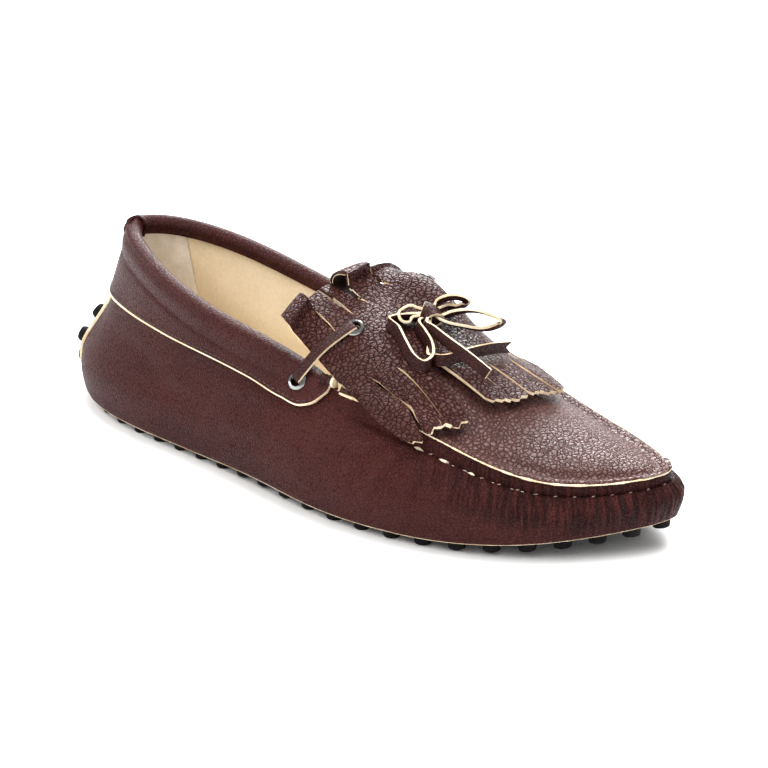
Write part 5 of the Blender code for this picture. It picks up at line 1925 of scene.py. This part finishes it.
@dataclass
class Lacing:
    """Eyelets, lace bars and the bow."""

    last: Last
    kiltie: Kiltie
    finishes: Finishes
    wide: float = 0.0044
    thick: float = 0.0012
    flange: float = 0.0040
    bore: float = 0.0021
    band_face: float = 0.0021
    band_eyelet: tuple[float, float] = (16.2, 0.915)
    kiltie_eyelet: tuple[float, float] = (0.5691, 0.170)
    medial_on: float = 0.0050
    arches: tuple[float, float] = (0.0024, 0.0066)
    knot: Triple = (0.1814, 0.0034, 0.0691)
    knot_size: Triple = (0.0040, 0.0038, 0.0030)
    punch_long: float = 0.0075
    bar_dip: float = 0.0018
    bar_low: float = 0.0008
    bar_high: float = 0.0024
    bar_on: float = 0.0022
    bar_nudge: float = 0.0002
    bar_narrow: float = 0.72
    notch: float = 0.0030
    notch_back: float = 0.0012

    def build(self) -> None:
        """Makes the metal and the lace."""
        for side, name, arch in ((1, "lateral", self.arches[0]), (-1, "medial", self.arches[1])):
            self.crossing(side, name, arch)
        self.bow()

    def eyelet_places(self, side: int) -> tuple[Array, Array, Array, Array]:
        """Places and normals of one side's eyelets, on the band and on the kiltie."""
        place, normal = self.last.at(self.band_eyelet[0] * side, self.band_eyelet[1])
        x = self.kiltie_eyelet[0] * self.last.length
        y = -side * self.kiltie_eyelet[1] * self.last.ball_width
        if side < 0:
            y += self.medial_on
        head, up = self.kiltie.top(x, y)
        return place + normal * self.band_face, normal, head, up

    def holes(self, leather: Piece, on_band: bool) -> None:
        """Punches the eyelets' holes through a piece."""
        for side in (1, -1):
            places = self.eyelet_places(side)
            point, normal = places[:2] if on_band else places[2:]
            Bench.clear_selection()
            wide = self.bore + 0.0004
            bpy.ops.mesh.primitive_cylinder_add(vertices=24, radius=wide, depth=self.punch_long)
            punch = bpy.context.object
            punch.data.transform(Bench.place(point - normal * 0.0005, UP, normal))
            Bench.apply(leather, "BOOLEAN", operation="DIFFERENCE", object=punch, solver="EXACT")
            bpy.data.objects.remove(punch)

    def crossing(self, side: int, name: str, arch: float) -> None:
        """Two eyelets and the lace between them."""
        face, normal, head, up = self.eyelet_places(side)
        self.eyelet("eyelet_ring_band_" + name, face, normal, "eyelet_band_" + name)
        self.eyelet("eyelet_ring_kiltie_" + name, head, up, "eyelet_kiltie_" + name)
        along = unit(head - face)
        middle = (face + head) / 2 + (normal + up) * arch
        route = np.array(
            [
                face - normal * self.bar_dip - along * self.bar_nudge,
                face + normal * self.bar_low + along * self.bar_nudge,
                face + normal * self.bar_high + along * self.bar_on,
                middle,
                head + up * self.bar_high - along * self.bar_on,
                head + up * self.bar_low - along * self.bar_nudge,
                head - up * self.bar_dip + along * self.bar_nudge,
            ]
        )
        start, end = unit(np.cross(normal, along)), unit(np.cross(up, along))
        sides = np.array([start] * 3 + [unit(start + end)] + [end] * 3)
        line, across = spline(route, 6), spline(sides, 6)
        self.strip("lace_bar_strip_" + name, line, across, ("lace_bar_" + name,), narrow=self.bar_narrow)

    def eyelet(self, name: str, point: Array, normal: Array, node: str) -> None:
        """A rolled metal ring with its barrel."""
        r, f = self.bore, self.flange
        profile = [
            *((r, -0.0012), (r, 0.0004), (r + 0.0003, 0.0011), (r + 0.0008, 0.0014)),
            *((f - 0.0008, 0.0012), (f - 0.0002, 0.0008), (f, 0.0002), (f - 0.0004, 0.0001)),
            *((r + 0.0004, 0.0001), (r + 0.0004, -0.0012), (r, -0.0012)),
        ]
        model = Bench.turned(name, profile, 40)
        model.data.transform(Bench.place(point, UP, normal))
        Bench.smooth(model, 60)
        Bench.finish(model, [self.finishes.metal], Slot.METAL, (node,))

    def strip(
        self,
        name: str,
        line: Array,
        across: Array,
        nodes: tuple[str, ...],
        swallow: bool = False,
        narrow: float = 1.0,
    ) -> tuple[Piece, Array]:
        """A flat lace along a line.

        Args:
            name: the piece's name.
            line: points down its middle.
            across: the direction across it at each point.
            nodes: the frame's nodes that it stands for.
            swallow: whether its far end is cut to a notch.
            narrow: how far it is squeezed where it enters an eyelet, as a share of its width.

        Returns:
            The object, and its middle line in the frame.
        """
        ahead = unit(np.gradient(line, axis=0))
        side = unit(across - ahead * np.sum(across * ahead, axis=1, keepdims=True))
        up = np.cross(ahead, side)
        a, b, c = self.wide / 2, self.thick / 2, 0.00025
        ring = [(a, b - c), (a, c - b), (a - 0.3 * c, 0.3 * c - b), (a - c, -b), (0, -b)]
        ring += [(-x, z) for x, z in ring[3::-1]]
        ring += [(0.3 * c - a, b - 0.3 * c), (c - a, b), (0, b), (a - c, b), (a - 0.3 * c, b - 0.3 * c)]
        rows = []
        share = np.linspace(0, 1, len(line))
        squeeze = narrow + (1 - narrow) * smooth_step(np.minimum(share, 1 - share), 0.10, 0.30)
        for x, z in ring + ring[:1]:
            points = line + side * (x * squeeze)[:, None] + up * z
            if swallow:
                points[-1] += ahead[-1] * (self.notch * abs(x) / a - self.notch_back)
            rows.append(points)
        obj = Bench.sheet(name, np.array(rows))
        Bench.mark_rows(obj, len(line) - 1, (0, 1, 6, 7, 8, 13))
        Bench.merge(obj)
        Bench.close_ends(obj, 1)
        Bench.smooth(obj, 45)
        Bench.finish(obj, [self.finishes.lace, self.finishes.raw_edge], Slot.LACE, nodes)
        return obj, line + TO_FRAME

    def hidden(self, places: Table) -> Ribbon:
        """A run that lies flat on the kiltie, under the rest of the bow."""
        points = tuple(tuple(self.kiltie.top(x, y, 0.0008)[0]) for x, y in places)
        return Ribbon(points, (0.6, -0.7, 0.3))

    def bow(self) -> None:
        """Knot, loops and ends."""
        hub = Ribbon((self.knot,), (0.5, -0.5, 0.7))
        self.cord_piece(
            "lace_loops_near",
            (hub, NEAR_LOOP, hub, BACK_LOOP, hub),
            ("bow_loop_near", "bow_loop_back", "bow_knot"),
        )
        self.cord_piece(
            "lace_loops_far",
            (hub, HIGH_LOOP, hub, FAR_LOOP, hub),
            ("bow_loop_high", "bow_loop_far"),
        )
        self.cord_piece("lace_end_front", (hub, FRONT_END), ("bow_tail_front",))
        under = self.hidden(((0.1850, -0.0040), (0.1915, -0.0112)))
        self.cord_piece("lace_end_swallow", (hub, under, SWALLOW_END), ("bow_tail_swallow",), True)
        self.knot_piece()

    def cord_piece(
        self,
        name: str,
        runs: tuple[Ribbon, ...],
        nodes: tuple[str, ...],
        swallow: bool = False,
    ) -> None:
        """One lace of the bow, drawn along its route."""
        places = np.array([place for run in runs for place in run.places])
        across = np.array([run.across for run in runs for _ in run.places], float)
        line, sides = spline(places, 8), spline(unit(across), 8)
        obj, path = self.strip(name, line, sides, nodes, swallow)

    def knot_piece(self) -> None:
        """The knot: a core with two turns of lace round it."""
        centre = np.array(self.knot)
        normal = self.kiltie.top(*self.knot[:2])[1]
        core = Bench.ball(24, 16, self.knot_size)
        core.data.transform(Bench.place(centre, np.array((1, 0, 0)), normal))
        core.name = core.data.name = "knot_core"
        Bench.smooth(core, 80)
        Bench.finish(core, [self.finishes.lace], Slot.LACE)
        for number, (turn, shift, size) in enumerate(((22, -0.0012, 0.0040), (-28, 0.0014, 0.0038))):
            a = math.radians(turn)
            along = unit(np.array((math.cos(a), math.sin(a), 0.0)) - normal * normal[0])
            across = np.cross(normal, along)
            ring = []
            for t in np.linspace(0, 2 * math.pi, 41):
                point = centre + along * shift + across * size * math.sin(t)
                ring.append(point + normal * 0.85 * size * math.cos(t))
            sides = np.tile(along, (len(ring), 1))
            self.strip(f"knot_turn_{number}", np.array(ring), sides, ())


def main() -> None:
    """Builds the studio, then the shoe from sole to bow."""
    logging.basicConfig(level=logging.INFO, format="%(name)s %(message)s")
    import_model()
    last = Last()
    finishes = Finishes()
    Studio().build()
    upper = Upper(last, finishes)
    drape = Drape(upper)
    kiltie = Kiltie(last, drape, finishes)
    lacing = Lacing(last, kiltie, finishes)
    lacing.build()
    upper.build()
    Sole(last, finishes).build()
    HeelPatch(last, finishes).build()
    CollarBand(last, finishes, lacing).build()
    kiltie.build(lacing)
    Bench.clear_selection()


if __name__ == "__main__":
    main()
